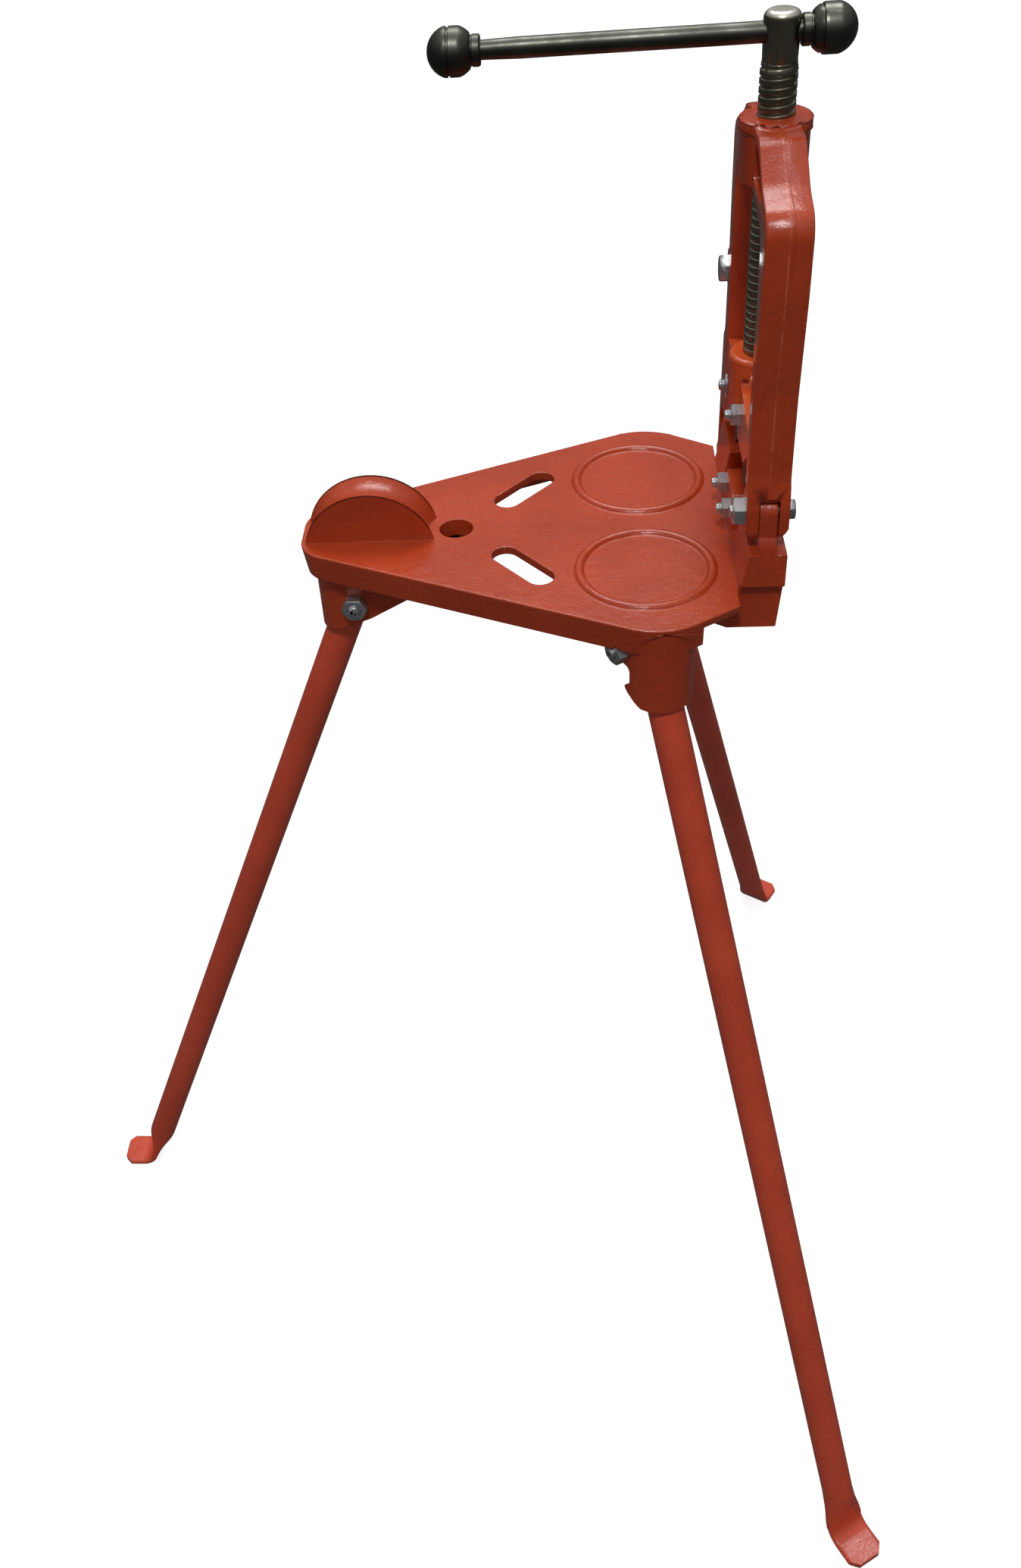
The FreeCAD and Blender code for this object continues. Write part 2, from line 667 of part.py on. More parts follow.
def vise_base():
    """The end wall that carries the lower jaw, with a pillar and a tongue at each end."""
    lower = side_prism(
        [
            (TRAY_END_X, 0),
            (TRAY_END_X + 1, LEDGE_Z),
            (BASE_FACE_X, LEDGE_Z),
            (BASE_FACE_X - BASE_LEAN, BASE_BOTTOM),
            (BASE_FOOT_X, BASE_BOTTOM),
            (BASE_KEEL_X, BASE_KEEL_BOTTOM),
            (BASE_KEEL_X, 0),
        ],
        -BASE_HALF,
        BASE_HALF,
    )
    pillar_shape = [
        (TRAY_END_X + 1, LEDGE_Z),
        (PILLAR_FACE_X, PILLAR_TOP),
        (BASE_FACE_X, PILLAR_TOP),
        (BASE_FACE_X, LEDGE_Z),
    ]
    pillar = side_prism(pillar_shape, -PILLAR_HALF, -PILLAR_INNER)
    web = [
        (-WEB_HALF, LEDGE_Z - 1),
        (-WEB_HALF, WEB_TOP - WEB_SHOULDER),
        (-WEB_HALF + WEB_SHOULDER, WEB_TOP),
        (WEB_HALF - WEB_SHOULDER, WEB_TOP),
        (WEB_HALF, WEB_TOP - WEB_SHOULDER),
        (WEB_HALF, LEDGE_Z - 1),
    ]
    front_web = end_prism(web, WEB_FRONT_X, JAW_SPLIT - JAW_SEAT_GAP)
    rear_face = JAW_SPLIT + JAW_THICKNESS + JAW_SEAT_GAP
    rear_web = block(rear_face, BASE_FACE_X, -PILLAR_INNER, PILLAR_INNER, LEDGE_Z - 1, PILLAR_TOP)
    solid = lower.fuse([both_sides(pillar), both_sides(base_tongue()), front_web, rear_web])
    hinge = Vector(0, -HINGE_Y, HINGE_Z)
    hinge_radius = HINGE_BOLT_RADIUS + RUNNING_CLEARANCE
    solid = solid.cut(rod(hinge_radius, hinge - X_AXIS * HUGE, hinge + X_AXIS * HUGE))
    for side in (-LOWER_BOLT_Y, LOWER_BOLT_Y):
        start = Vector(WEB_FRONT_X - 1, side, LOWER_BOLT_Z)
        end = Vector(BASE_FACE_X + 1, side, LOWER_BOLT_Z)
        solid = solid.cut(rod(JAW_BOLT_RADIUS + BOLT_CLEARANCE, start, end))
    return solid


def head_casting():
    solid = tray().fuse([pipe_rest(), vise_base()])
    front = socket(FRONT_SOCKET_REACH, FRONT_SOCKET_DROP, FRONT_PIVOT_DROP, front_cheek())
    side = socket(SIDE_SOCKET_REACH, SIDE_SOCKET_DROP, SIDE_PIVOT_DROP, side_cheek())
    sockets = {"leg_front": front, "leg_near": side, "leg_far": side}
    for name, body in sockets.items():
        drop = -leg_frames()[name][0].z
        housing = body.cut(socket_hollow(drop)).fuse(fold_stop(drop))
        solid = solid.fuse(at_leg(housing, name))
    for name in sockets:
        solid = solid.cut(at_leg(pivot_space(), name))
    return solid.cut(tray_holes()).removeSplitter()


def leg_bolts_and_nuts():
    bolts = []
    nuts = []
    for name in leg_frames():
        head_side = Y_AXIS if name == "leg_near" else Y_AXIS * -1
        head_face = head_side * SOCKET_HALF
        nut_face = head_side * -SOCKET_HALF
        bolt = hex_bolt(PIVOT_BOLT_RADIUS, head_face, nut_face, PIVOT_BOLT_RADIUS * PIVOT_BOLT_TAIL)
        bolts.append(at_leg(bolt, name))
        nuts.append(at_leg(hex_nut(PIVOT_BOLT_RADIUS, nut_face, head_side * -1), name))
    return Part.Compound(bolts), Part.Compound(nuts)


# ---------------------------------------------------------------- jaws
def jaw(apex_z, opens):
    """A toothed V block. opens is +1 for a V that opens upward and -1 for downward."""
    back_z = apex_z - opens * (JAW_BACK - JAW_APEX)
    face = []
    count = int(JAW_REACH / TOOTH_PITCH)
    for step in range(count + 1):
        across = JAW_REACH - step * TOOTH_PITCH
        face.append((across, across))
        if step < count:
            root = across - TOOTH_PITCH
            face.append((root + TOOTH_DEPTH / 2, root - TOOTH_DEPTH / 2))
    right = [(across, apex_z + opens * height) for across, height in face]
    left = [(-across, z) for across, z in reversed(right)]
    tip_z = apex_z + opens * JAW_REACH
    shape = [(JAW_HALF, back_z), (JAW_HALF, tip_z)] + right + left
    shape += [(-JAW_HALF, tip_z), (-JAW_HALF, back_z)]
    return shape


def lower_jaw():
    solid = end_prism(jaw(LOWER_APEX_Z, 1), JAW_SPLIT, JAW_SPLIT + JAW_THICKNESS)
    solid = solid.common(block(-HUGE, HUGE, -HUGE, HUGE, LEDGE_Z + JAW_SEAT_GAP, HUGE))
    for side in (-LOWER_BOLT_Y, LOWER_BOLT_Y):
        start = Vector(-JAW_SPLIT, side, LOWER_BOLT_Z)
        solid = solid.cut(rod(JAW_BOLT_RADIUS + BOLT_CLEARANCE, start, start + X_AXIS * HUGE))
    return solid


def upper_jaw():
    solid = end_prism(jaw(UPPER_APEX_Z, -1), -JAW_SPLIT - JAW_THICKNESS, -JAW_SPLIT)
    for side in (-UPPER_BOLT_Y, UPPER_BOLT_Y):
        start = Vector(JAW_SPLIT, side, UPPER_BOLT_Z)
        solid = solid.cut(rod(JAW_BOLT_RADIUS + BOLT_CLEARANCE, start, start - X_AXIS * HUGE))
    return solid


def jaw_bolts_and_nuts(across, height, head_x, nut_x):
    bolts = []
    nuts = []
    for side in (-across, across):
        head_face = Vector(head_x, side, height)
        nut_face = Vector(nut_x, side, height)
        tail = JAW_BOLT_RADIUS * JAW_BOLT_TAIL
        bolts.append(hex_bolt(JAW_BOLT_RADIUS, head_face, nut_face, tail))
        nuts.append(hex_nut(JAW_BOLT_RADIUS, nut_face, X_AXIS * -1))
    return Part.Compound(bolts), Part.Compound(nuts)


# ---------------------------------------------------------------- yoke
def yoke_half_outline():
    """The near half's outer line, from the middle of the top down to the fork."""
    return [
        (0, YOKE_TOP),
        (-CROWN_HALF, YOKE_TOP, CROWN_ROUND),
        (-BEND_Y, BEND_Z, BEND_ROUND),
        (-YOKE_SHOULDER_Y, YOKE_SHOULDER_Z, SHOULDER_ROUND),
        (-FLANK_Y, FLANK_Z, FLANK_ROUND),
        (-YOKE_WAIST_Y, YOKE_WAIST_Z, WAIST_ROUND),
        (-YOKE_WAIST_Y, ANKLE_Z, ANKLE_ROUND),
        (-HINGE_Y - PRONG_REACH, HINGE_Z + HEEL_RISE, HEEL_ROUND),
        (-HINGE_Y - PRONG_REACH, HINGE_Z),
        (-HINGE_Y + PRONG_REACH, HINGE_Z),
        (-HINGE_Y + PRONG_REACH, HINGE_Z + HEEL_RISE),
        (-WINDOW_HALF, WINDOW_FOOT_Z),
        (-WINDOW_HALF, WINDOW_TOP - WINDOW_ARCH, WINDOW_CORNER),
        (0, WINDOW_TOP),
    ]


def yoke_recesses():
    """The shallow pockets in both faces, either side of the boss."""
    inner_y = BOSS_RADIUS + 1
    low = WINDOW_TOP + RECESS_BORDER
    high = YOKE_TOP - RECESS_BORDER
    shape = [
        (-inner_y, low, RECESS_ROUND),
        (-inner_y, high, RECESS_ROUND),
        (-RECESS_TOP_Y, high, 2 * RECESS_ROUND),
        (-RECESS_BOTTOM_Y, low, RECESS_ROUND),
    ]
    floor = YOKE_HALF_THICKNESS - RECESS_DEPTH
    front = end_prism(shape, floor, YOKE_HALF_THICKNESS + 1)
    back = end_prism(shape, -YOKE_HALF_THICKNESS - 1, -floor)
    return both_sides(front.fuse(back))


def yoke_prong():
    """The foot of the near arm below the hinge, rounded outward and bevelled at its tip."""
    half = YOKE_HALF_THICKNESS
    outer = -HINGE_Y - PRONG_REACH
    inner = -HINGE_Y + PRONG_REACH
    tip = [
        (outer, HINGE_Z),
        (outer, PRONG_BOTTOM, PRONG_ROUND),
        (inner, PRONG_BOTTOM, PRONG_ROUND),
        (inner, HINGE_Z),
    ]
    bevel = [
        (-half, HINGE_Z),
        (-half, PRONG_KNEE),
        (-PRONG_TIP_HALF, PRONG_BOTTOM),
        (PRONG_TIP_HALF, PRONG_BOTTOM),
        (half, PRONG_KNEE),
        (half, HINGE_Z),
    ]
    return end_prism(tip, -half, half).common(side_prism(bevel, outer, inner))


def yoke_forks():
    """The slots that straddle the base's tongues: round floors, and a taller mouth outside."""
    back = Vector(TONGUE_X - TONGUE_WIDTH / 2 - SIDE_CLEARANCE, -HINGE_Y, HINGE_Z)
    front = Vector(TONGUE_X + TONGUE_WIDTH / 2 + SIDE_CLEARANCE, -HINGE_Y, HINGE_Z)
    floor = rod(FORK_FLOOR_RADIUS, back, front)
    arch = [
        (back.x, HINGE_Z),
        (back.x, FORK_MOUTH_TOP, FORK_MOUTH_ROUND),
        (front.x, FORK_MOUTH_TOP, FORK_MOUTH_ROUND),
        (front.x, HINGE_Z),
    ]
    mouth = side_prism(arch, -HUGE, -HINGE_Y - PRONG_REACH + FORK_MOUTH_DEPTH)
    slot = block(back.x, front.x, -HUGE, HUGE, 0, HINGE_Z)
    return slot.fuse(both_sides(floor.fuse(mouth)))


def latch_lug():
    """The lug on the far arm that the latch hook is forked over."""
    half = LATCH_LUG_HALF
    eye = rod(LATCH_LUG_RADIUS, Vector(-half, LATCH_Y, LATCH_Z), Vector(half, LATCH_Y, LATCH_Z))
    root_y = YOKE_WAIST_Y - LATCH_LUG_HALF
    root = [
        (root_y, LATCH_Z - 2 * LATCH_LUG_RADIUS),
        (LATCH_Y, LATCH_Z - LATCH_LUG_RADIUS),
        (LATCH_Y, LATCH_Z + LATCH_LUG_RADIUS),
        (root_y, LATCH_Z + 2 * LATCH_LUG_RADIUS),
    ]
    return eye.fuse(end_prism(root, -half, half))


def through(radius, across, height):
    """A hole right through along X."""
    return rod(radius, Vector(-HUGE, across, height), Vector(HUGE, across, height))


def yoke():
    """An arch with a nut boss at its crown, a fork at each foot and a lug for the latch."""
    back = -YOKE_HALF_THICKNESS
    front = YOKE_HALF_THICKNESS
    half = end_prism(yoke_half_outline(), back, front)
    guide_x = GUIDE_HALF_WIDTH
    guide = block(-guide_x, guide_x, -WINDOW_HALF - 1, -WINDOW_INNER, GUIDE_BOTTOM, GUIDE_TOP)
    solid = both_sides(half.fuse([yoke_prong(), guide])).cut(yoke_recesses())
    boss = rod(BOSS_RADIUS, Vector(0, 0, WINDOW_TOP + 1), Vector(0, 0, BOSS_TOP))
    rim_top = Vector(0, 0, BOSS_TOP - BOSS_RIM)
    rim = rod(BOSS_RADIUS + BOSS_RIM, rim_top - Z_AXIS * BOSS_RIM_DEPTH, rim_top)
    ear_space = LATCH_EAR_RADIUS + SIDE_CLEARANCE
    for side in (-1, 1):
        start = Vector(side * LATCH_LUG_HALF, LATCH_Y, LATCH_Z)
        solid = solid.cut(rod(ear_space, start, start + X_AXIS * (side * HUGE)))
    solid = solid.fuse([boss, rim, latch_lug()])
    screw_low = Vector(0, 0, WINDOW_TOP - BOSS_RADIUS)
    screw_hole = rod(SCREW_RADIUS + RUNNING_CLEARANCE, screw_low, Vector(0, 0, HUGE))
    latch_hole = through(LATCH_BOLT_RADIUS, LATCH_Y, LATCH_Z)
    hinge_hole = through(HINGE_BOLT_RADIUS, -HINGE_Y, HINGE_Z)
    return solid.cut([screw_hole, latch_hole, hinge_hole, yoke_forks()]).removeSplitter()


# ---------------------------------------------------------------- latch
def latch_hook():
    """A forked hook that hangs outside the far arm and catches under the base's ledge."""
    half = LATCH_HALF_THICKNESS
    inner_y = YOKE_WAIST_Y + LATCH_ARM_GAP
    hollow_y = LATCH_HOLLOW_Y
    fork_y = HINGE_Y + PRONG_REACH + LATCH_FORK_GAP
    base_y = PILLAR_HALF + LATCH_GAP
    nose_y = BASE_HALF + LATCH_GAP
    nose_top = LEDGE_Z - LATCH_GAP
    shape = [
        (inner_y, LATCH_Z),
        (inner_y, ANKLE_Z - 1),
        (fork_y, HINGE_Z + 3 * HEEL_RISE),
        (fork_y, TONGUE_FLARE_Z - LATCH_TONGUE_DROP),
        (base_y, PILLAR_TOP + LATCH_PILLAR_RISE),
        (base_y, nose_top, LATCH_NOSE_ROUND),
        (nose_y, nose_top, LATCH_NOSE_ROUND),
        (nose_y, nose_top - LATCH_NOSE_DEPTH, 2 * LATCH_NOSE_ROUND),
        (LATCH_OUTER_Y - 1, nose_top - LATCH_NOSE_DEPTH, LATCH_TOE_ROUND),
        (LATCH_OUTER_Y, LATCH_HOLLOW_Z - LATCH_HOLLOW_ROUND, LATCH_TOE_ROUND),
        (hollow_y, LATCH_HOLLOW_Z, LATCH_HOLLOW_ROUND),
        (hollow_y + 1, LATCH_Z - LATCH_NECK_DROP, LATCH_HOLLOW_ROUND),
        (LATCH_Y + LATCH_SHOULDER, LATCH_Z),
    ]
    solid = end_prism(shape, -half, half)
    ear = rod(LATCH_EAR_RADIUS, Vector(-half, LATCH_Y, LATCH_Z), Vector(half, LATCH_Y, LATCH_Z))
    solid = solid.fuse(ear)
    space = LATCH_LUG_HALF + SIDE_CLEARANCE
    solid = solid.cut(block(-space, space, 0, HUGE, LATCH_Z - LATCH_SLOT_DROP, HUGE))
    solid = solid.cut(through(LATCH_BOLT_RADIUS + RUNNING_CLEARANCE, LATCH_Y, LATCH_Z))
    solid = solid.removeSplitter()
    solid.rotate(Vector(0, LATCH_Y, LATCH_Z), X_AXIS, LATCH_RELEASE)
    return solid


# ---------------------------------------------------------------- jaw carrier
def jaw_carrier():
    """A crosshead that slides on the yoke's guides and holds the upper jaw."""
    half = CARRIER_HALF_THICKNESS
    right = [
        (CARRIER_BOSS_RADIUS - 2, CARRIER_NECK_Z),
        (CARRIER_HALF - CARRIER_EAR_LENGTH, CARRIER_EAR_TOP + 1, CARRIER_EAR_ROUND),
        (CARRIER_HALF, CARRIER_EAR_TOP, CARRIER_TIP_ROUND),
        (CARRIER_HALF, CARRIER_EAR_BOTTOM, CARRIER_TIP_ROUND),
        (CARRIER_HALF - CARRIER_SLOPE, CARRIER_BOTTOM, CARRIER_EAR_ROUND),
        (CARRIER_ARCH, CARRIER_BOTTOM),
    ]
    left = [(-point[0],) + point[1:] for point in reversed(right)]
    solid = end_prism(right + [(0, CARRIER_BOTTOM + CARRIER_ARCH)] + left, -half, half)
    boss = rod(CARRIER_BOSS_RADIUS, Vector(0, 0, CARRIER_EAR_BOTTOM), Vector(0, 0, CARRIER_BOSS_TOP))
    rim = [edge for edge in boss.Edges if edge.BoundBox.ZMin > CARRIER_BOSS_TOP - 0.01]
    solid = solid.fuse(boss.makeFillet(CARRIER_BOSS_ROUND, rim))
    jaw_half = JAW_HALF + JAW_SEAT_GAP
    jaw_top = UPPER_APEX_Z + JAW_BACK - JAW_APEX + JAW_SEAT_GAP
    jaw_back = -JAW_SPLIT - JAW_THICKNESS - JAW_SEAT_GAP
    jaw_slot = block(jaw_back, JAW_SEAT_GAP - JAW_SPLIT, -jaw_half, jaw_half, 0, jaw_top)
    wing_top = LOWER_APEX_Z + JAW_REACH + CARRIER_CLOSING + WING_GAP
    wing_front = JAW_SPLIT + JAW_THICKNESS + 1
    wing_space = block(jaw_back, wing_front, -jaw_half - 1, jaw_half + 1, 0, wing_top)
    guide_half = GUIDE_HALF_WIDTH + CARRIER_GUIDE_GAP
    groove = block(-guide_half, guide_half, WINDOW_INNER - CARRIER_GUIDE_GAP, HUGE, 0, HUGE)
    screw_low = Vector(0, 0, SCREW_END_Z - JAW_SEAT_GAP)
    screw_hole = rod(SCREW_RADIUS + RUNNING_CLEARANCE, screw_low, Vector(0, 0, HUGE))
    solid = solid.cut([jaw_slot, wing_space, both_sides(groove), screw_hole])
    spot_radius = hexagon_corner(JAW_BOLT_RADIUS * HEX_FLATS) + NUT_CLEARANCE
    spot_face = through(spot_radius, -UPPER_BOLT_Y, UPPER_BOLT_Z)
    spot_face = spot_face.cut(block(-half, half, -HUGE, HUGE, 0, HUGE))
    bolt_hole = through(JAW_BOLT_RADIUS + BOLT_CLEARANCE, -UPPER_BOLT_Y, UPPER_BOLT_Z)
    solid = solid.cut([both_sides(spot_face), both_sides(bolt_hole)])
    for side in (-PIN_OFFSET, PIN_OFFSET):
        start = Vector(side, -HUGE, PIN_Z)
        solid = solid.cut(rod(PIN_RADIUS, start, start + Y_AXIS * 2 * HUGE))
    return solid.removeSplitter()


def retaining_pins():
    """Two cross pins that hold the screw's grooved tail in the carrier."""
    pins = []
    reach = math.sqrt(CARRIER_BOSS_RADIUS**2 - (PIN_OFFSET + PIN_RADIUS) ** 2)
    for side in (-PIN_OFFSET, PIN_OFFSET):
        pins.append(rod(PIN_RADIUS, Vector(side, -reach, PIN_Z), Vector(side, reach, PIN_Z)))
    return Part.Compound(pins)


# ---------------------------------------------------------------- screw and handle
def clamp_screw():
    body = rod(SCREW_RADIUS, Vector(0, 0, SCREW_END_Z), Vector(0, 0, SCREW_SHOULDER_Z))
    head = rod(HEAD_RADIUS, Vector(0, 0, SCREW_SHOULDER_Z - 1), Vector(0, 0, HEAD_TOP))
    crown = [edge for edge in head.Edges if edge.BoundBox.ZMin > HEAD_TOP - 0.01]
    head = head.makeFillet(HEAD_ROUND, crown)
    groove_half = PIN_RADIUS + PIN_GAP
    groove_low = Vector(0, 0, PIN_Z - groove_half)
    groove_high = Vector(0, 0, PIN_Z + groove_half)
    groove = rod(SCREW_RADIUS + 1, groove_low, groove_high)
    groove = groove.cut(rod(PIN_OFFSET - PIN_RADIUS - PIN_GAP, groove_low, groove_high))
    eye = rod(BAR_RADIUS + BAR_CLEARANCE, Vector(-HUGE, 0, HANDLE_Z), Vector(HUGE, 0, HANDLE_Z))
    return body.fuse(head).cut([groove, eye]).removeSplitter()


def handle_bar():
    start = Vector(HANDLE_LEFT_X - BALL_RADIUS + BALL_SOCKET, 0, HANDLE_Z)
    end = Vector(HANDLE_RIGHT_X + BALL_RADIUS - BALL_SOCKET, 0, HANDLE_Z)
    return rod(BAR_RADIUS, start, end)


def handle_ball(centre_x, inward):
    """A turned ball end with a collar on its inner side."""
    centre = Vector(centre_x, 0, HANDLE_Z)
    ball = Part.makeSphere(BALL_RADIUS, centre)
    band = Part.makeCylinder(BALL_FLAT, 4 * BALL_RADIUS, centre - X_AXIS * 2 * BALL_RADIUS, X_AXIS)
    collar_reach = HANDLE_RIGHT_X - HEAD_RADIUS - HANDLE_GAP
    collar = rod(COLLAR_RADIUS, centre, centre + X_AXIS * (inward * collar_reach))
    bore_end = centre - X_AXIS * (inward * (BALL_RADIUS - BALL_SOCKET))
    bore = rod(BAR_RADIUS, bore_end, centre + X_AXIS * (inward * 2 * BALL_RADIUS))
    return ball.common(band).fuse(collar).cut(bore).removeSplitter()


# ---------------------------------------------------------------- the whole stand
def build():
    nodes = {}
    nodes["head_casting"] = head_casting()
    for name, (pivot, bearing) in leg_frames().items():
        nodes[name] = at_leg(leg(-pivot.z), name)
    nodes["leg_pivot_bolts"], nodes["leg_pivot_nuts"] = leg_bolts_and_nuts()
    nodes["lower_jaw"] = lower_jaw()
    nodes["lower_jaw_bolts"], nodes["lower_jaw_nuts"] = jaw_bolts_and_nuts(
        LOWER_BOLT_Y, LOWER_BOLT_Z, BASE_FACE_X, WEB_FRONT_X
    )
    nodes["yoke"] = yoke()
    hinge_head = Vector(YOKE_HALF_THICKNESS, -HINGE_Y, HINGE_Z)
    hinge_seat = Vector(-YOKE_HALF_THICKNESS, -HINGE_Y, HINGE_Z)
    nodes["hinge_bolt"] = headed_bolt(
        HINGE_BOLT_RADIUS, HINGE_HEAD_FLATS, HINGE_HEAD_HEIGHT, hinge_head, hinge_seat,
        HINGE_BOLT_RADIUS * BOLT_TAIL
    )
    nodes["hinge_nut"] = hex_nut(HINGE_BOLT_RADIUS, hinge_seat, X_AXIS * -1)
    nodes["latch_hook"] = latch_hook()
    washer_gap = X_AXIS * JAW_SEAT_GAP
    latch_head = Vector(-LATCH_HALF_THICKNESS, LATCH_Y, LATCH_Z) - washer_gap
    latch_seat = Vector(LATCH_HALF_THICKNESS, LATCH_Y, LATCH_Z) + washer_gap
    latch_tail = LATCH_BOLT_RADIUS * BOLT_TAIL
    nodes["latch_bolt"] = hex_bolt(LATCH_BOLT_RADIUS, latch_head, latch_seat, latch_tail)
    nodes["latch_nut"] = hex_nut(LATCH_BOLT_RADIUS, latch_seat, X_AXIS)
    nodes["jaw_carrier"] = jaw_carrier()
    nodes["upper_jaw"] = upper_jaw()
    nodes["upper_jaw_bolts"], nodes["upper_jaw_nuts"] = jaw_bolts_and_nuts(
        UPPER_BOLT_Y, UPPER_BOLT_Z, CARRIER_HALF_THICKNESS, -CARRIER_HALF_THICKNESS
    )
    nodes["screw_retaining_pins"] = retaining_pins()
    nodes["clamp_screw"] = clamp_screw()
    nodes["handle_bar"] = handle_bar()
    nodes["handle_ball_left"] = handle_ball(HANDLE_LEFT_X, 1)
    nodes["handle_ball_right"] = handle_ball(HANDLE_RIGHT_X, -1)
    return nodes


def to_floor(nodes):
    """The move that puts the origin on the floor, at the middle of the stand's plan."""
    feet = Part.Compound([nodes[name] for name in leg_frames()]).optimalBoundingBox(False)
    return Vector(-(feet.XMin + feet.XMax) / 2, 0, TRAY_HEIGHT)


nodes = build()
move = to_floor(nodes)
os.makedirs("parts", exist_ok=True)
for name, shape in nodes.items():
    placed = shape.copy()
    placed.translate(move)
    placed.exportStep("parts/" + name + ".step")
    box = placed.optimalBoundingBox(False)
    low = "%8.1f %8.1f %8.1f" % (box.XMin, box.YMin, box.ZMin)
    high = "%8.1f %8.1f %8.1f" % (box.XMax, box.YMax, box.ZMax)
    print("%-22s solids %d volume %10.0f" % (name, len(placed.Solids), placed.Volume), low, high)
print("head frame moved by", round(move.x, 2), move.y, move.z)
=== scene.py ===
# %% [markdown]
# # A tripod pipe vise stand
# The stand is a cast tray on three tube legs, with a yoke vise at its wide end. The solids come
# from the CAD frame, true to size. This lesson dresses them: cast edges that catch the light,
# enamel over sand-cast iron, turned steel, zinc-plated bolts, and the threads that the solids
# leave out.

# %% Load the frame
import math

import bmesh
import bpy
from mathutils import Matrix, Vector
from mathutils.bvhtree import BVHTree


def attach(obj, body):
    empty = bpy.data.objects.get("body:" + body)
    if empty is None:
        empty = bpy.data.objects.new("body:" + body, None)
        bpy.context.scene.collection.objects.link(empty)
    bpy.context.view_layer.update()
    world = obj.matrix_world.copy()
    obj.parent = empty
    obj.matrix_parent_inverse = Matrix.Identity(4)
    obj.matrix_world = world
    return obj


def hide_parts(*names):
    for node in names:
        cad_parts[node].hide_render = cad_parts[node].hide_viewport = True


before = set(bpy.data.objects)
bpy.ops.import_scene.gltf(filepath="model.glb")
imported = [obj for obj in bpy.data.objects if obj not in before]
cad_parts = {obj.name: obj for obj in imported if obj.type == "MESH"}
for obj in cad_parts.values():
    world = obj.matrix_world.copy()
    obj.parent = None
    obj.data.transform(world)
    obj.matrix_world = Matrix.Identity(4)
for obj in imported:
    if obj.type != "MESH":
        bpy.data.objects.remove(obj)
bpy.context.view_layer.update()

# %% [markdown]
# The head's own zero point is where the clamp screw's axis meets the top of the tray. It is
# easier to think in millimetres from there, so one small function turns such a place into the
# metres of the frame.

# %% Places
MM = 0.001
HEAD = Vector((0.24778, 0.0, 0.7725))


def at(x, y, z):
    """A place in the head's own millimetres, as a point of the frame in metres."""
    return HEAD + Vector((x, y, z)) * MM


print("screw axis meets the tray at", tuple(at(0, 0, 0)))

# %% [markdown]
# ## Small helpers for shader nodes
# A material is a graph. It could be wired node by node, at five lines for each. These helpers
# add a node with its settings and wire its sockets by name, so a recipe takes a few lines.

# %% Node helpers


def add(tree, kind, settings=None, **values):
    """Adds a node, sets its properties, then fills its sockets by name."""
    node = tree.nodes.new(kind)
    for name, value in (settings or {}).items():
        setattr(node, name, value)
    for name, value in values.items():
        node.inputs[name.replace("_", " ")].default_value = value
    return node


def wire(tree, start, end):
    tree.links.new(start, end)


def math_node(tree, operation, first, second=None):
    """One Math node. Each input is a socket or a number."""
    node = add(tree, "ShaderNodeMath", {"operation": operation})
    for index, value in enumerate((first, second)):
        if value is None:
            continue
        if isinstance(value, (int, float)):
            node.inputs[index].default_value = value
        else:
            wire(tree, value, node.inputs[index])
    return node.outputs[0]


def remap(tree, value, low, high, out_low=0.0, out_high=1.0):
    """Stretches a range of a value onto another range, with soft ends."""
    node = add(tree, "ShaderNodeMapRange", {"interpolation_type": "SMOOTHSTEP"})
    wire(tree, value, node.inputs["Value"])
    for name, number in (("From Min", low), ("From Max", high), ("To Min", out_low), ("To Max", out_high)):
        node.inputs[name].default_value = number
    return node.outputs["Result"]


print("node helpers ready")

# %% [markdown]
# Two more helpers make most of what is seen. One mixes colours by a mask. The other is a noise
# on Object coordinates, which are metres on the piece itself, so a pattern has its real scale
# and doesn't slide when the piece moves.

# %% Colour and noise


def mix_colour(tree, factor, first, second):
    """Mixes two colours. Each is a socket or an RGB triple."""
    node = add(tree, "ShaderNodeMix", {"data_type": "RGBA"})
    wire(tree, factor, node.inputs[0])
    for socket, value in ((node.inputs[6], first), (node.inputs[7], second)):
        if isinstance(value, tuple):
            socket.default_value = (*value, 1.0)
        else:
            wire(tree, value, socket)
    return node.outputs[2]


def noise(tree, place, scale, detail=3.0, roughness=0.5):
    """A noise pattern on Object coordinates. Its scale is waves to a metre."""
    node = add(tree, "ShaderNodeTexNoise", Scale=scale, Detail=detail, Roughness=roughness)
    wire(tree, place, node.inputs["Vector"])
    return node.outputs["Fac"]


print("colour and noise ready")

# %% [markdown]
# ## Shared effects
# Three effects come back in several materials, so each is a node group with named inputs and
# outputs that is built once. A group gives masks and heights only, and the shaders stay in the
# materials.

# %% Group helpers


def new_group(name, inputs, outputs):
    """An empty group with its sockets, and the nodes at its two ends."""
    group = bpy.data.node_groups.new(name, "ShaderNodeTree")
    for label, value in inputs:
        socket = group.interface.new_socket(label, in_out="INPUT", socket_type="NodeSocketFloat")
        socket.default_value = value
    for label in outputs:
        group.interface.new_socket(label, in_out="OUTPUT", socket_type="NodeSocketFloat")
    start = group.nodes.new("NodeGroupInput")
    end = group.nodes.new("NodeGroupOutput")
    return group, start, end


def use(tree, group, **values):
    """Places a group in a material with its own values."""
    node = tree.nodes.new("ShaderNodeGroup")
    node.node_tree = group
    for name, value in values.items():
        node.inputs[name.replace("_", " ")].default_value = value
    return node.outputs


print("group helpers ready")
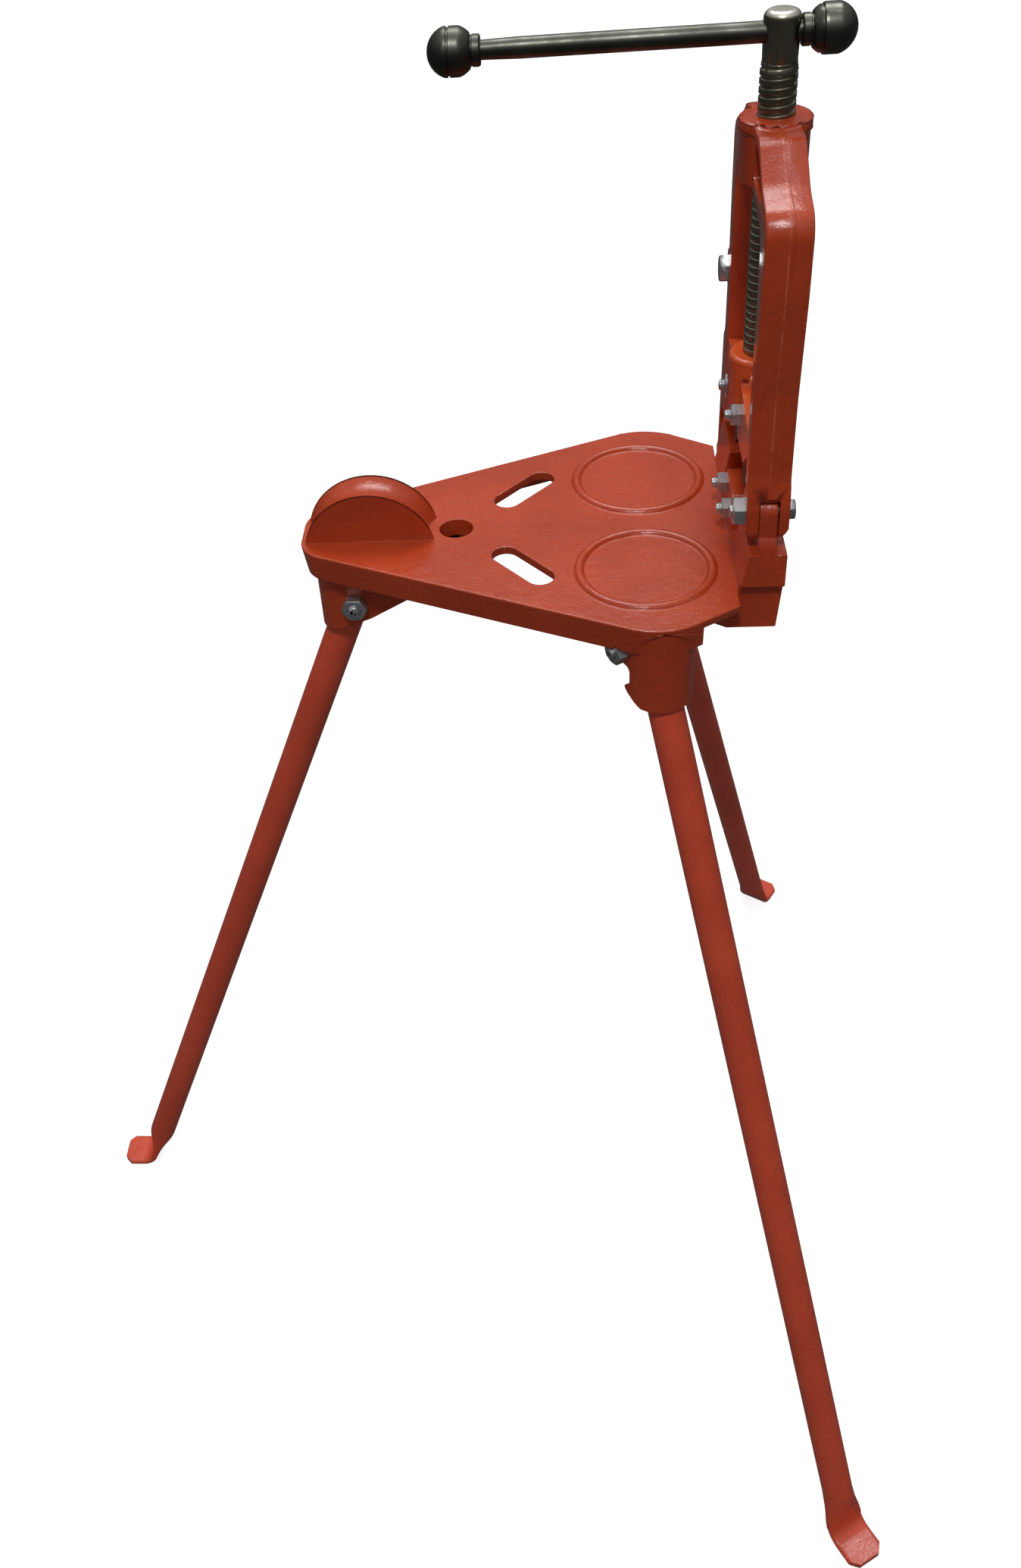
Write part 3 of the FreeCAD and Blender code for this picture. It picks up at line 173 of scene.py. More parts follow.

# %% [markdown]
# *Worn edges* finds where paint or plate has rubbed off; in the enamel the same mask also places
# a painted highlight along proud edges. It compares the true normal with one that the Bevel node
# has softened: they differ only near an edge. Noise then breaks that line up into chips, and a
# slower noise spares whole stretches.

# %% Worn edges


def build_worn_edges():
    inputs = (("Width", 0.001), ("Chip Scale", 400.0), ("Amount", 0.5))
    group, start, end = new_group("worn_edges", inputs, ("Mask",))
    place = add(group, "ShaderNodeTexCoord").outputs["Object"]
    bevel = add(group, "ShaderNodeBevel", {"samples": 4})
    wire(group, start.outputs["Width"], bevel.inputs["Radius"])
    geometry = add(group, "ShaderNodeNewGeometry")
    dot = add(group, "ShaderNodeVectorMath", {"operation": "DOT_PRODUCT"})
    wire(group, bevel.outputs["Normal"], dot.inputs[0])
    wire(group, geometry.outputs["Normal"], dot.inputs[1])
    edge = remap(group, dot.outputs["Value"], 0.985, 0.86)
    chips = add(group, "ShaderNodeTexNoise", Detail=4.0, Roughness=0.65)
    wire(group, place, chips.inputs["Vector"])
    wire(group, start.outputs["Chip Scale"], chips.inputs["Scale"])
    patches = noise(group, place, 22.0, 2.0)
    broken = math_node(group, "MULTIPLY", chips.outputs["Fac"], remap(group, patches, 0.35, 0.7))
    spared = math_node(group, "MULTIPLY", start.outputs["Amount"], 0.5)
    level = math_node(group, "SUBTRACT", 0.62, spared)
    chosen = math_node(group, "GREATER_THAN", math_node(group, "MULTIPLY", broken, edge), level)
    wire(group, chosen, end.inputs["Mask"])
    return group


WORN_EDGES = build_worn_edges()
print("group", WORN_EDGES.name)

# %% [markdown]
# *Sand grain* is the pebbled skin that a sand mould leaves under paint: a fine noise on a wider
# swell. A third noise, much slower, says where the colour drifts.

# %% Sand grain


def build_sand_grain():
    group, start, end = new_group("sand_grain", (("Scale", 700.0),), ("Height", "Patches"))
    place = add(group, "ShaderNodeTexCoord").outputs["Object"]
    fine = add(group, "ShaderNodeTexNoise", Detail=3.0, Roughness=0.55)
    wire(group, place, fine.inputs["Vector"])
    wire(group, start.outputs["Scale"], fine.inputs["Scale"])
    swell = noise(group, place, 110.0, 2.0)
    slow = noise(group, place, 14.0, 3.0)
    height = math_node(group, "ADD", fine.outputs["Fac"], math_node(group, "MULTIPLY", swell, 1.6))
    wire(group, height, end.inputs["Height"])
    wire(group, slow, end.inputs["Patches"])
    return group


SAND_GRAIN = build_sand_grain()
print("group", SAND_GRAIN.name)

# %% [markdown]
# *Turning lines* are the fine rings that a lathe leaves round a bar. Noise in one dimension,
# read along the bar, gives rings that never cross, and a plain noise gives the smears of oil.

# %% Turning lines


def build_turning_lines():
    inputs = (("Along X", 1.0), ("Along Z", 0.0))
    group, start, end = new_group("turning_lines", inputs, ("Height", "Smears"))
    place = add(group, "ShaderNodeTexCoord").outputs["Object"]
    parts = add(group, "ShaderNodeSeparateXYZ")
    wire(group, place, parts.inputs[0])
    along_x = math_node(group, "MULTIPLY", parts.outputs["X"], start.outputs["Along X"])
    along_z = math_node(group, "MULTIPLY", parts.outputs["Z"], start.outputs["Along Z"])
    along = math_node(group, "ADD", along_x, along_z)
    lines = add(group, "ShaderNodeTexNoise", {"noise_dimensions": "1D"}, Scale=2600.0, Detail=3.0)
    wire(group, along, lines.inputs["W"])
    wire(group, lines.outputs["Fac"], end.inputs["Height"])
    wire(group, noise(group, place, 45.0, 4.0, 0.6), end.inputs["Smears"])
    return group


TURNING_LINES = build_turning_lines()
print("group", TURNING_LINES.name)

# %% [markdown]
# ## Enamel on iron
# The castings wear a thick orange-red enamel. It is glossy, but the sand-cast skin below it
# breaks every highlight into sparks. Colour drifts slowly over the surface. Proud edges are
# lighter, partly thin worn film and partly a painted highlight, and the ridge where the yoke's
# mould parted carries a painted highlight line. One recipe makes all the paints.

# %% Enamel
# Lighter enamel: on proud edges partly thin worn film and partly a painted highlight; on the yoke's parting
# ridge a painted highlight line.
THIN_PAINT_AND_HIGHLIGHT = (0.72, 0.17, 0.085)
EDGE_WEAR_AND_HIGHLIGHT_SHARE = 0.55
EDGE_WEAR_AND_HIGHLIGHT_WIDTH = 0.0011
EDGE_WEAR_AND_HIGHLIGHT_CHIPS = 420.0
RIDGE_HIGHLIGHT_CORE = 0.0002
RIDGE_HIGHLIGHT_REACH = 0.0006
EDGE_SOFTNESS = 0.0009
GRAIN_DEPTH = 0.00028
ENAMEL_SPECULAR = 0.62


def enamel(name, colour, deep, roughness, grain, grain_scale=800.0, wear=0.35, parting_highlight=False):
    """A thick paint over a cast or drawn skin. Grain is the strength of its bump."""
    material = bpy.data.materials.new(name)
    material.use_nodes = True
    tree = material.node_tree
    shader = tree.nodes["Principled BSDF"]
    skin = use(tree, SAND_GRAIN, Scale=grain_scale)
    worn = use(tree, WORN_EDGES, Width=EDGE_WEAR_AND_HIGHLIGHT_WIDTH, Chip_Scale=EDGE_WEAR_AND_HIGHLIGHT_CHIPS, Amount=wear)["Mask"]
    place = add(tree, "ShaderNodeTexCoord").outputs["Object"]
    body = mix_colour(tree, remap(tree, skin["Patches"], 0.36, 0.64), deep, colour)
    mottle = remap(tree, noise(tree, place, 260.0, 4.0, 0.6), 0.35, 0.65, 0.0, 0.30)
    body = mix_colour(tree, mottle, body, tuple(channel * 0.78 for channel in deep))
    specks = remap(tree, noise(tree, place, 1100.0, 2.0), 0.72, 0.80, 0.0, 0.35)
    body = mix_colour(tree, specks, body, tuple(channel * 0.4 for channel in deep))
    # Proud edges get the lighter colour: partly worn thin, partly a painted highlight.
    thin_and_highlight = math_node(tree, "MULTIPLY", worn, EDGE_WEAR_AND_HIGHLIGHT_SHARE)
    # A painted highlight line along the yoke's parting ridge, broken up by noise.
    if parting_highlight:
        across = add(tree, "ShaderNodeSeparateXYZ")
        wire(tree, place, across.inputs[0])
        off = math_node(tree, "ABSOLUTE", math_node(tree, "SUBTRACT", across.outputs["X"], HEAD.x))
        ridge_highlight = remap(tree, off, RIDGE_HIGHLIGHT_CORE, RIDGE_HIGHLIGHT_REACH, 0.8, 0.0)
        ridge_highlight_breakup = remap(tree, noise(tree, place, 120.0, 3.0), 0.40, 0.60)
        thin_and_highlight = math_node(tree, "MAXIMUM", thin_and_highlight, math_node(tree, "MULTIPLY", ridge_highlight, ridge_highlight_breakup))
    wire(tree, mix_colour(tree, thin_and_highlight, body, THIN_PAINT_AND_HIGHLIGHT), shader.inputs["Base Color"])
    gloss = noise(tree, place, 60.0, 3.0)
    wire(tree, remap(tree, gloss, 0.3, 0.7, roughness * 0.7, roughness * 1.5), shader.inputs["Roughness"])
    shader.inputs["Specular IOR Level"].default_value = ENAMEL_SPECULAR
    soft = add(tree, "ShaderNodeBevel", {"samples": 4}, Radius=EDGE_SOFTNESS)
    bump = add(tree, "ShaderNodeBump", Strength=grain, Distance=GRAIN_DEPTH)
    wire(tree, skin["Height"], bump.inputs["Height"])
    wire(tree, soft.outputs["Normal"], bump.inputs["Normal"])
    wire(tree, bump.outputs["Normal"], shader.inputs["Normal"])
    return material


CASTING = {"colour": (0.55, 0.064, 0.017), "deep": (0.47, 0.050, 0.013), "roughness": 0.065, "grain": 0.8}
CASTING_PAINT = enamel("casting_enamel", **CASTING)
YOKE_PAINT = enamel("yoke_enamel", **CASTING, parting_highlight=True)
CARRIER_PAINT = enamel(
    "carrier_enamel", colour=(0.78, 0.112, 0.024), deep=(0.68, 0.092, 0.018), roughness=0.09, grain=0.7
)
# The legs' enamel is lighter than the castings': painted light, because the lamps reach the low legs less
# than the tray.
LEG_PAINT_WITH_PAINTED_LIGHT = enamel(
    "leg_enamel_painted_light", colour=(0.80, 0.100, 0.044), deep=(0.70, 0.084, 0.037), roughness=0.20, grain=0.5,
    grain_scale=600.0, wear=0.25,
)
print("enamels", CASTING_PAINT.name, YOKE_PAINT.name, CARRIER_PAINT.name, LEG_PAINT_WITH_PAINTED_LIGHT.name)

# %% [markdown]
# ## Metals
# There are five: dark oiled bar for the handle, a browner steel for the screw, a bright steel
# for the screw's top, partly bare where hammer blows struck and partly a painted highlight,
# blackened tool steel for the jaws, and zinc plate for the bolts and nuts. One recipe makes them
# all. The roughness of each varies, because an even roughness is what makes rendered metal look
# like plastic.

# %% Metal recipe
PLAIN = (0.0, 0.0)
ALONG_BAR = (1.0, 0.0)
ALONG_SCREW = (0.0, 1.0)
METAL_WEAR_WIDTH = 0.0006
METAL_WEAR_CHIPS = 600.0
METAL_SOFTNESS = 0.0004
LINE_DEPTH = 0.0001


def metal(
    name, colour, tint, roughness, lines=PLAIN, line_strength=0.0, worn_colour=None, wear=0.5, bare=1.0
):
    """A steel or a plate. Lines are the shares of turning lines along X and Z."""
    material = bpy.data.materials.new(name)
    material.use_nodes = True
    tree = material.node_tree
    shader = tree.nodes["Principled BSDF"]
    shader.inputs["Metallic"].default_value = bare
    turned = use(tree, TURNING_LINES, Along_X=lines[0], Along_Z=lines[1])
    smears = remap(tree, turned["Smears"], 0.3, 0.7)
    body = mix_colour(tree, smears, colour, tint)
    rough = remap(tree, turned["Smears"], 0.25, 0.75, roughness + 0.1, roughness - 0.06)
    if worn_colour:
        edges = use(tree, WORN_EDGES, Width=METAL_WEAR_WIDTH, Chip_Scale=METAL_WEAR_CHIPS, Amount=wear)
        worn = edges["Mask"]
        body = mix_colour(tree, worn, body, worn_colour)
        rough = math_node(tree, "SUBTRACT", rough, math_node(tree, "MULTIPLY", worn, 0.12))
    wire(tree, body, shader.inputs["Base Color"])
    wire(tree, rough, shader.inputs["Roughness"])
    soft = add(tree, "ShaderNodeBevel", {"samples": 4}, Radius=METAL_SOFTNESS)
    bump = add(tree, "ShaderNodeBump", Strength=line_strength, Distance=LINE_DEPTH)
    wire(tree, turned["Height"], bump.inputs["Height"])
    wire(tree, soft.outputs["Normal"], bump.inputs["Normal"])
    wire(tree, bump.outputs["Normal"], shader.inputs["Normal"])
    return material


BAR_STEEL = metal(
    "bar_steel", (0.070, 0.074, 0.060), (0.125, 0.131, 0.108), roughness=0.33,
    lines=ALONG_BAR, line_strength=0.35, worn_colour=(0.20, 0.20, 0.17),
)
SCREW_STEEL = metal(
    "screw_steel", (0.200, 0.190, 0.132), (0.330, 0.315, 0.230), roughness=0.26,
    lines=ALONG_SCREW, line_strength=0.2, worn_colour=(0.36, 0.33, 0.26),
)
CAP_STEEL_AND_HIGHLIGHT = metal("cap_steel_and_painted_highlight", (0.50, 0.48, 0.42), (0.68, 0.66, 0.60), roughness=0.34)
JAW_STEEL = metal(
    "jaw_steel", (0.030, 0.029, 0.026), (0.060, 0.057, 0.052), roughness=0.42, worn_colour=(0.20, 0.19, 0.18)
)
ZINC = metal(
    "zinc_plate", (0.46, 0.48, 0.50), (0.64, 0.65, 0.66), roughness=0.30,
    worn_colour=(0.36, 0.36, 0.34), wear=0.3, bare=0.85,
)
print("metals", BAR_STEEL.name, SCREW_STEEL.name, CAP_STEEL_AND_HIGHLIGHT.name, JAW_STEEL.name, ZINC.name)

# %% [markdown]
# ## Cast edges
# The CAD solids have knife edges. A casting never does: the mould rounds them. Each casting
# gets a copy whose edges are bevelled in the mesh, and the copy stands for the solid. First the
# triangles are merged back into whole faces, or the bevel would run into their diagonals. A
# corner that is already crowded with short edges has no room for a bevel, so it is passed over,
# and the shader's own soft normal rounds it instead.

# %% Working meshes
MERGE = 2e-6
FLAT_WITHIN = math.radians(0.4)
SMOOTH_BELOW = math.radians(32)


def take_mesh(node):
    """A working copy of a node's mesh, with its triangles joined into whole faces."""
    bm = bmesh.new()
    bm.from_mesh(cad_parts[node].data)
    bmesh.ops.remove_doubles(bm, verts=bm.verts, dist=MERGE)
    bmesh.ops.dissolve_limit(bm, angle_limit=FLAT_WITHIN, verts=bm.verts, edges=bm.edges)
    return bm


def sharp_edges(bm, limit):
    """The edges whose faces turn by more than a limit in degrees."""
    least = math.radians(limit)
    return {edge for edge in bm.edges if edge.is_manifold and edge.calc_face_angle() > least}


def roomy_edges(bm, limit, width):
    """The sharp edges whose ends leave room for a bevel of this width."""
    sharp = sharp_edges(bm, limit)
    crowded = set()
    for edge in sharp:
        if edge.calc_length() < 1.6 * width:
            crowded.update(edge.verts)
    for vert in bm.verts:
        if sum(edge in sharp for edge in vert.link_edges) > 3:
            crowded.add(vert)
    return [edge for edge in bm.edges if edge in sharp and not crowded.intersection(edge.verts)]


def bevel_edges(bm, edges, width, segments):
    bmesh.ops.bevel(
        bm, geom=edges, offset=width, offset_type="OFFSET", segments=segments,
        profile=0.5, affect="EDGES", clamp_overlap=False, material=-1, loop_slide=True,
    )


def place_piece(bm, name, body, material, slot, *stands_for):
    """Turns a working mesh into a finished piece that rides on a body."""
    mesh = bpy.data.meshes.new(name)
    bm.to_mesh(mesh)
    bm.free()
    mesh.materials.append(material)
    piece = bpy.data.objects.new(name, mesh)
    bpy.context.collection.objects.link(piece)
    mesh.shade_smooth()
    mesh.set_sharp_from_angle(angle=SMOOTH_BELOW)
    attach(piece, body)
    if stands_for:
        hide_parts(*stands_for)
    print(name, len(mesh.polygons), "faces")
    return piece


print("mesh helpers ready")

# %% [markdown]
# Three castings need nothing but rounded edges. Weighted normals keep their broad faces flat in
# the light, right up to those edges, where plain smooth shading would bend it.

# %% Rounded castings
SHARP = 28


def rounded(node, width):
    """A node's working mesh with its sharp edges bevelled."""
    bm = take_mesh(node)
    bevel_edges(bm, roomy_edges(bm, SHARP, width), width, 2)
    return bm


for name, body, material, slot, width in (
    ("head_casting", "stand", CASTING_PAINT, "orange_paint", 0.0008),
    ("jaw_carrier", "carrier", CARRIER_PAINT, "carrier_paint", 0.0010),
    ("latch_hook", "latch", CASTING_PAINT, "orange_paint", 0.0010),
):
    casting = place_piece(rounded(name, width), name + "_cast", body, material, slot, name)
    casting.modifiers.new("flat_faces", "WEIGHTED_NORMAL").keep_sharp = True

# %% [markdown]
# ## The yoke's draft
# The yoke is cast in a two-part mould that splits along its middle plane, so every side leans
# away from that plane by a few degrees and a faint ridge is left where the halves met. The mesh
# is cut along the plane and its far edges are drawn in. The corners of the forks' mouths are
# drawn in too, by their share of the way out. The ridge is marked sharp to keep it crisp.

# %% Draft
DRAFT = 0.7
DRAFT_FROM = 12.0
YOKE_HALF = 13.5
FORK_TOP = at(0, 0, 72.0).z
ON_PLANE = 0.01
SIDE_TILT = 0.3


def draft_sides(bm):
    """Leans a casting's sides away from the parting plane at the head's middle."""
    everything = bm.verts[:] + bm.edges[:] + bm.faces[:]
    bmesh.ops.bisect_plane(bm, geom=everything, dist=1e-7, plane_co=HEAD, plane_no=(1, 0, 0))
    bm.normal_update()
    moves = {}
    for vert in bm.verts:
        out = abs(vert.co.x - HEAD.x) / MM
        sides = [face for face in vert.link_faces if abs(face.normal.x) < SIDE_TILT]
        if out < ON_PLANE or not sides:
            continue
        if out > DRAFT_FROM:
            lean = sum((face.normal for face in sides), Vector())
        elif vert.co.z < FORK_TOP:
            lean = max(sides, key=lambda face: face.calc_area()).normal.copy()
        else:
            continue
        lean.x = 0
        if lean.length > 0:
            moves[vert] = lean.normalized() * min(1.0, out / YOKE_HALF)
    for vert, lean in moves.items():
        vert.co -= lean * DRAFT * MM


def mark_parting_line(piece):
    """Keeps the ridge on the parting plane sharp in the shading."""
    mesh = piece.data
    for edge in mesh.edges:
        if all(abs(mesh.vertices[index].co.x - HEAD.x) < 1e-6 for index in edge.vertices):
            edge.use_edge_sharp = True


print("draft", DRAFT, "mm each side")

# %% [markdown]
# ## A paint run
# The enamel has run down the near arm's outer shoulder and set as a thin bead. A row of small
# round sections follows the casting, each one dropped onto the surface by casting a ray at it,
# and they are bridged into a skin. It swells towards its lower end, where a run sets thickest.

# %% Paint run
RUN_X = 1.5
RUN_SWAY = 0.8
RUN_START_Y = -140.0
RUN_TOP = 262.0
RUN_BOTTOM = 214.0
RUN_STEPS = 24
RUN_HALF_WIDTH = 0.9
RUN_SUNK = 0.35
RUN_SIDES = 10


def paint_run(bm):
    """Adds a bead of set paint down the outer face of the near arm."""
    tree = BVHTree.FromBMesh(bm)
    loops = []
    for step in range(RUN_STEPS + 1):
        share = step / RUN_STEPS
        height = RUN_TOP + (RUN_BOTTOM - RUN_TOP) * share
        start = at(RUN_X + RUN_SWAY * math.sin(2.5 * share), RUN_START_Y, height)
        spot, normal, _, _ = tree.ray_cast(start, Vector((0, 1, 0)))
        swell = math.sin(math.pi * min(1.0, share + 0.02)) ** 0.5
        radius = RUN_HALF_WIDTH * (0.45 + 0.55 * share) * max(0.05, swell) * MM
        ring = bmesh.ops.create_circle(bm, cap_ends=False, segments=RUN_SIDES, radius=radius)["verts"]
        turn = Vector((0, 0, 1)).rotation_difference(Vector((0, normal.z, -normal.y)))
        place = Matrix.Translation(spot - normal * radius * RUN_SUNK) @ turn.to_matrix().to_4x4()
        bmesh.ops.transform(bm, matrix=place, verts=ring)
        loops.append(list(dict.fromkeys(edge for vert in ring for edge in vert.link_edges)))
    for first, second in zip(loops, loops[1:]):
        bmesh.ops.bridge_loops(bm, edges=first + second)
    for loop in (loops[0], loops[-1]):
        bmesh.ops.edgeloop_fill(bm, edges=loop)


print("run", RUN_TOP - RUN_BOTTOM, "mm long")

# %% [markdown]
# The yoke is put together in that order. Only edges that reach above the forks are bevelled,
# because the forks have no room for it beside their mouths.

# %% Yoke
YOKE_EDGE = 0.0012
yoke = take_mesh("yoke")
draft_sides(yoke)
arch = []
for edge in roomy_edges(yoke, SHARP, YOKE_EDGE):
    if max(vert.co.z for vert in edge.verts) > FORK_TOP:
        arch.append(edge)
bevel_edges(yoke, arch, YOKE_EDGE, 2)
paint_run(yoke)
mark_parting_line(place_piece(yoke, "yoke_cast", "yoke", YOKE_PAINT, "orange_paint", "yoke"))

# %% [markdown]
# ## Threads
# A thread is one tooth profile swept up a helix. The spin operator does it: it turns the
# profile round the axis and lifts it a little at each step, so that after a full turn the
# profile's foot lands on its own head. The doubles are merged, both ends are cut flat, and the
# last turn is blended away, as the die runs out of the bar.

# %% Helix


def join_mesh(bm, other):
    """Adds another working mesh to this one."""
    spare = bpy.data.meshes.new("spare")
    other.to_mesh(spare)
    other.free()
    bm.from_mesh(spare)
    bpy.data.meshes.remove(spare)


def thread(profile, pitch, low, high, steps):
    """A threaded rod along Z. The profile is (radius, height) pairs over one pitch, in mm."""
    bm = bmesh.new()
    start = low - pitch
    verts = [bm.verts.new((radius * MM, 0, (start + height) * MM)) for radius, height in profile]
    edges = [bm.edges.new(pair) for pair in zip(verts, verts[1:])]
    turns = math.ceil((high - start) / pitch) + 1
    bmesh.ops.spin(
        bm, geom=verts + edges, cent=(0, 0, 0), axis=(0, 0, 1), dvec=(0, 0, pitch * MM / steps),
        angle=turns * math.tau, steps=turns * steps, use_merge=False, use_duplicate=False,
    )
    bmesh.ops.remove_doubles(bm, verts=bm.verts, dist=MERGE)
    for height, side in ((low, -1), (high, 1)):
        everything = bm.verts[:] + bm.edges[:] + bm.faces[:]
        bmesh.ops.bisect_plane(
            bm, geom=everything, dist=1e-7, plane_co=(0, 0, height * MM), plane_no=(0, 0, side),
            clear_outer=True,
        )
    bmesh.ops.holes_fill(bm, edges=[edge for edge in bm.edges if edge.is_boundary], sides=0)
    bmesh.ops.recalc_face_normals(bm, faces=bm.faces)
    return bm


def blend_radius(bm, low, high, radius):
    """Draws a rod's surface to a plain radius between two heights."""
    for vert in bm.verts:
        share = min(1.0, max(0.0, (vert.co.z / MM - low) / (high - low)))
        reach = math.hypot(vert.co.x, vert.co.y)
        if share > 0 and reach > 0:
            wanted = reach + (radius * MM - reach) * share * share * (3 - 2 * share)
            vert.co.x *= wanted / reach
            vert.co.y *= wanted / reach


print("thread maker ready")

# %% [markdown]
# ## Clamp screw
# The screw is 22 mm bar with a coarse trapezoid thread of 5.08 mm pitch, the same pitch that
# couples its turning to the jaw's slide. Below and above the thread the CAD solid is kept,
# because the grooved tail and the eye for the handle are cut in it. The head is a little proud
# of the eye, where blows have spread it. Its top's upward faces are a brighter steel, partly
# bare metal from the blows and partly a painted highlight.

# %% Screw
SCREW_PITCH = 5.08
SCREW_CREST = 11.0
SCREW_ROOT = 9.7
THREAD_LOW = 124.0
THREAD_HIGH = 307.3
SHANK_RADIUS = 10.4
SPREAD_RADIUS = 10.8
SPREAD_Z = 328.0
SPREAD_REACH = 7.0
CAD_HEAD_RADIUS = 10.0
SCREW_EDGE = 0.0004
THREAD_STEPS = 36
RUN_OUT = 4.5
CAP_FROM = at(0, 0, 331.5).z
CAP_FACING = 0.45
SCREW_TOOTH = (
    (SCREW_ROOT, 0.0), (SCREW_ROOT, 0.5), (SCREW_CREST - 0.2, 1.15), (SCREW_CREST, 1.4),
    (SCREW_CREST, 4.18), (SCREW_CREST - 0.2, 4.43), (SCREW_ROOT, SCREW_PITCH),
)


def screw_ends():
    """The CAD screw without its threaded middle, and with its head a little spread."""
    bm = take_mesh("clamp_screw")
    for vert in bm.verts:
        across = vert.co - HEAD
        height = across.z / MM
        across.z = 0
        if height > THREAD_HIGH - 0.1 and across.length < (CAD_HEAD_RADIUS + 0.5) * MM:
            spread = max(0.0, 1.0 - abs(height - SPREAD_Z) / SPREAD_REACH)
            growth = (SHANK_RADIUS + (SPREAD_RADIUS - SHANK_RADIUS) * spread) / CAD_HEAD_RADIUS
            vert.co += across * (growth - 1)
    tail = bm.copy()
    for part, height, side in ((bm, THREAD_HIGH + 0.05, -1), (tail, THREAD_LOW + 0.5, 1)):
        everything = part.verts[:] + part.edges[:] + part.faces[:]
        bmesh.ops.bisect_plane(
            part, geom=everything, dist=1e-7, plane_co=at(0, 0, height), plane_no=(0, 0, side),
            clear_outer=True,
        )
        bmesh.ops.holes_fill(part, edges=[edge for edge in part.edges if edge.is_boundary], sides=0)
    bevel_edges(bm, roomy_edges(bm, 40, SCREW_EDGE), SCREW_EDGE, 2)
    join_mesh(bm, tail)
    return bm


screw = thread(SCREW_TOOTH, SCREW_PITCH, THREAD_LOW, THREAD_HIGH + 0.2, THREAD_STEPS)
blend_radius(screw, THREAD_HIGH - RUN_OUT, THREAD_HIGH, SHANK_RADIUS - 0.02)
bmesh.ops.translate(screw, verts=screw.verts, vec=HEAD)
join_mesh(screw, screw_ends())
screw_piece = place_piece(screw, "clamp_screw_threaded", "screw", SCREW_STEEL, "dark_steel", "clamp_screw")
screw_piece.data.materials.append(CAP_STEEL_AND_HIGHLIGHT)
# Upward faces of the top get the bright steel: partly bare metal, partly a painted highlight.
for face in screw_piece.data.polygons:
    if face.center.z > CAP_FROM and face.normal.z > CAP_FACING:
        face.material_index = 1

# %% [markdown]
# ## Bolts
# The bolts come from the CAD with their heads right. Their tails are plain pins, so each tail is
# drawn back inside its nut and a threaded one with a rounded end stands in its place.

# %% Bolt tails
BOLT_SIDES = 24
HIDDEN = 0.3
M8 = (4.0, 1.25)
M10 = (5.0, 1.5)


def threaded_tail(radius, pitch, length):
    """A short threaded end along +Z from just below zero, with a domed point."""
    depth = 0.6 * pitch
    tooth = (
        (radius - depth, 0.0), (radius - depth, 0.12 * pitch), (radius, 0.46 * pitch),
        (radius, 0.62 * pitch), (radius - depth, pitch),
    )
    bm = thread(tooth, pitch, -1.0, length - 0.5, BOLT_SIDES)
    blend_radius(bm, length - 0.5 - pitch, length - 0.4, radius - depth)
    cap = max(bm.faces, key=lambda face: face.calc_center_median().z)
    rim = bmesh.ops.inset_region(bm, faces=[cap], thickness=0.4 * radius * MM, depth=0.35 * MM)
    bmesh.ops.inset_region(bm, faces=[cap], thickness=0.3 * radius * MM, depth=0.12 * MM)
    print("tail", radius, "mm, rim faces", len(rim["faces"]))
    return bm


def threaded_bolts(node, body, size, tails):
    """A copy of a bolt node. Each tail is a point on its nut's face, a direction and a length."""
    radius, pitch = size
    bm = take_mesh(node)
    for point, direction, length in tails:
        along = direction.normalized()
        for vert in bm.verts:
            reach = (vert.co - point).dot(along)
            across = (vert.co - point - along * reach).length
            if reach > 0 and across < (radius + HIDDEN) * MM:
                vert.co -= along * (reach + HIDDEN * MM)
        tail = threaded_tail(radius, pitch, length)
        turn = Vector((0, 0, 1)).rotation_difference(along).to_matrix().to_4x4()
        bmesh.ops.transform(tail, matrix=Matrix.Translation(point) @ turn, verts=tail.verts)
        join_mesh(bm, tail)
    return place_piece(bm, node + "_threaded", body, ZINC, "zinc_steel", node)


print("bolt maker ready")

# %% [markdown]
# The jaws' bolts come in pairs, one on each side of the screw, with their nuts towards the pipe
# rest. The hinge and the latch have one bolt each. A tail starts on its nut's outer face.

# %% Vise bolts
TOWARDS_REST = Vector((-1, 0, 0))
AWAY = Vector((1, 0, 0))
JAW_TAIL = 4.0
PIVOT_TAIL = 2.0


def paired_tails(x, y, z):
    """The tails of a jaw's two bolts, either side of the screw."""
    return [(at(x, side * y, z), TOWARDS_REST, JAW_TAIL) for side in (-1, 1)]


threaded_bolts("lower_jaw_bolts", "stand", M8, paired_tails(-21.4, 17.0, 20.0))
threaded_bolts("upper_jaw_bolts", "carrier", M8, paired_tails(-19.4, 21.0, 93.5))
threaded_bolts("hinge_bolt", "yoke", M10, [(at(-21.5, -75.5, 54.5), TOWARDS_REST, PIVOT_TAIL)])
threaded_bolts("latch_bolt", "yoke", M10, [(at(20.6, 92.0, 145.0), AWAY, PIVOT_TAIL)])

# %% [markdown]
# Each leg folds about a bolt that lies level, square to the leg's bearing. The near leg's is
# the far one's mirror image, so its nut is on the other side.

# %% Leg pivot bolts
NUT_FACE = 31.0
LEG_TAIL = 2.5
LEG_PIVOTS = (
    (at(-281.9, 0.0, -48.5), 180.0, 1),
    (at(-73.2, -97.4, -28.0), -58.4, -1),
    (at(-73.2, 97.4, -28.0), 58.4, 1),
)
leg_tails = []
for pivot, bearing, side in LEG_PIVOTS:
    turn = math.radians(bearing)
    direction = Vector((-math.sin(turn), math.cos(turn), 0)) * side
    leg_tails.append((pivot + direction * NUT_FACE * MM, direction, LEG_TAIL))
threaded_bolts("leg_pivot_bolts", "stand", M10, leg_tails)

# %% [markdown]
# ## T-handle
# The bar is 12 mm steel, turned down a little where it enters the left ball. Each ball end is a
# lathe job: a profile from the outer pole, over the ball with one narrow parting groove, down a
# step to the collar. Spinning the profile round the bar's axis makes the whole end at once.

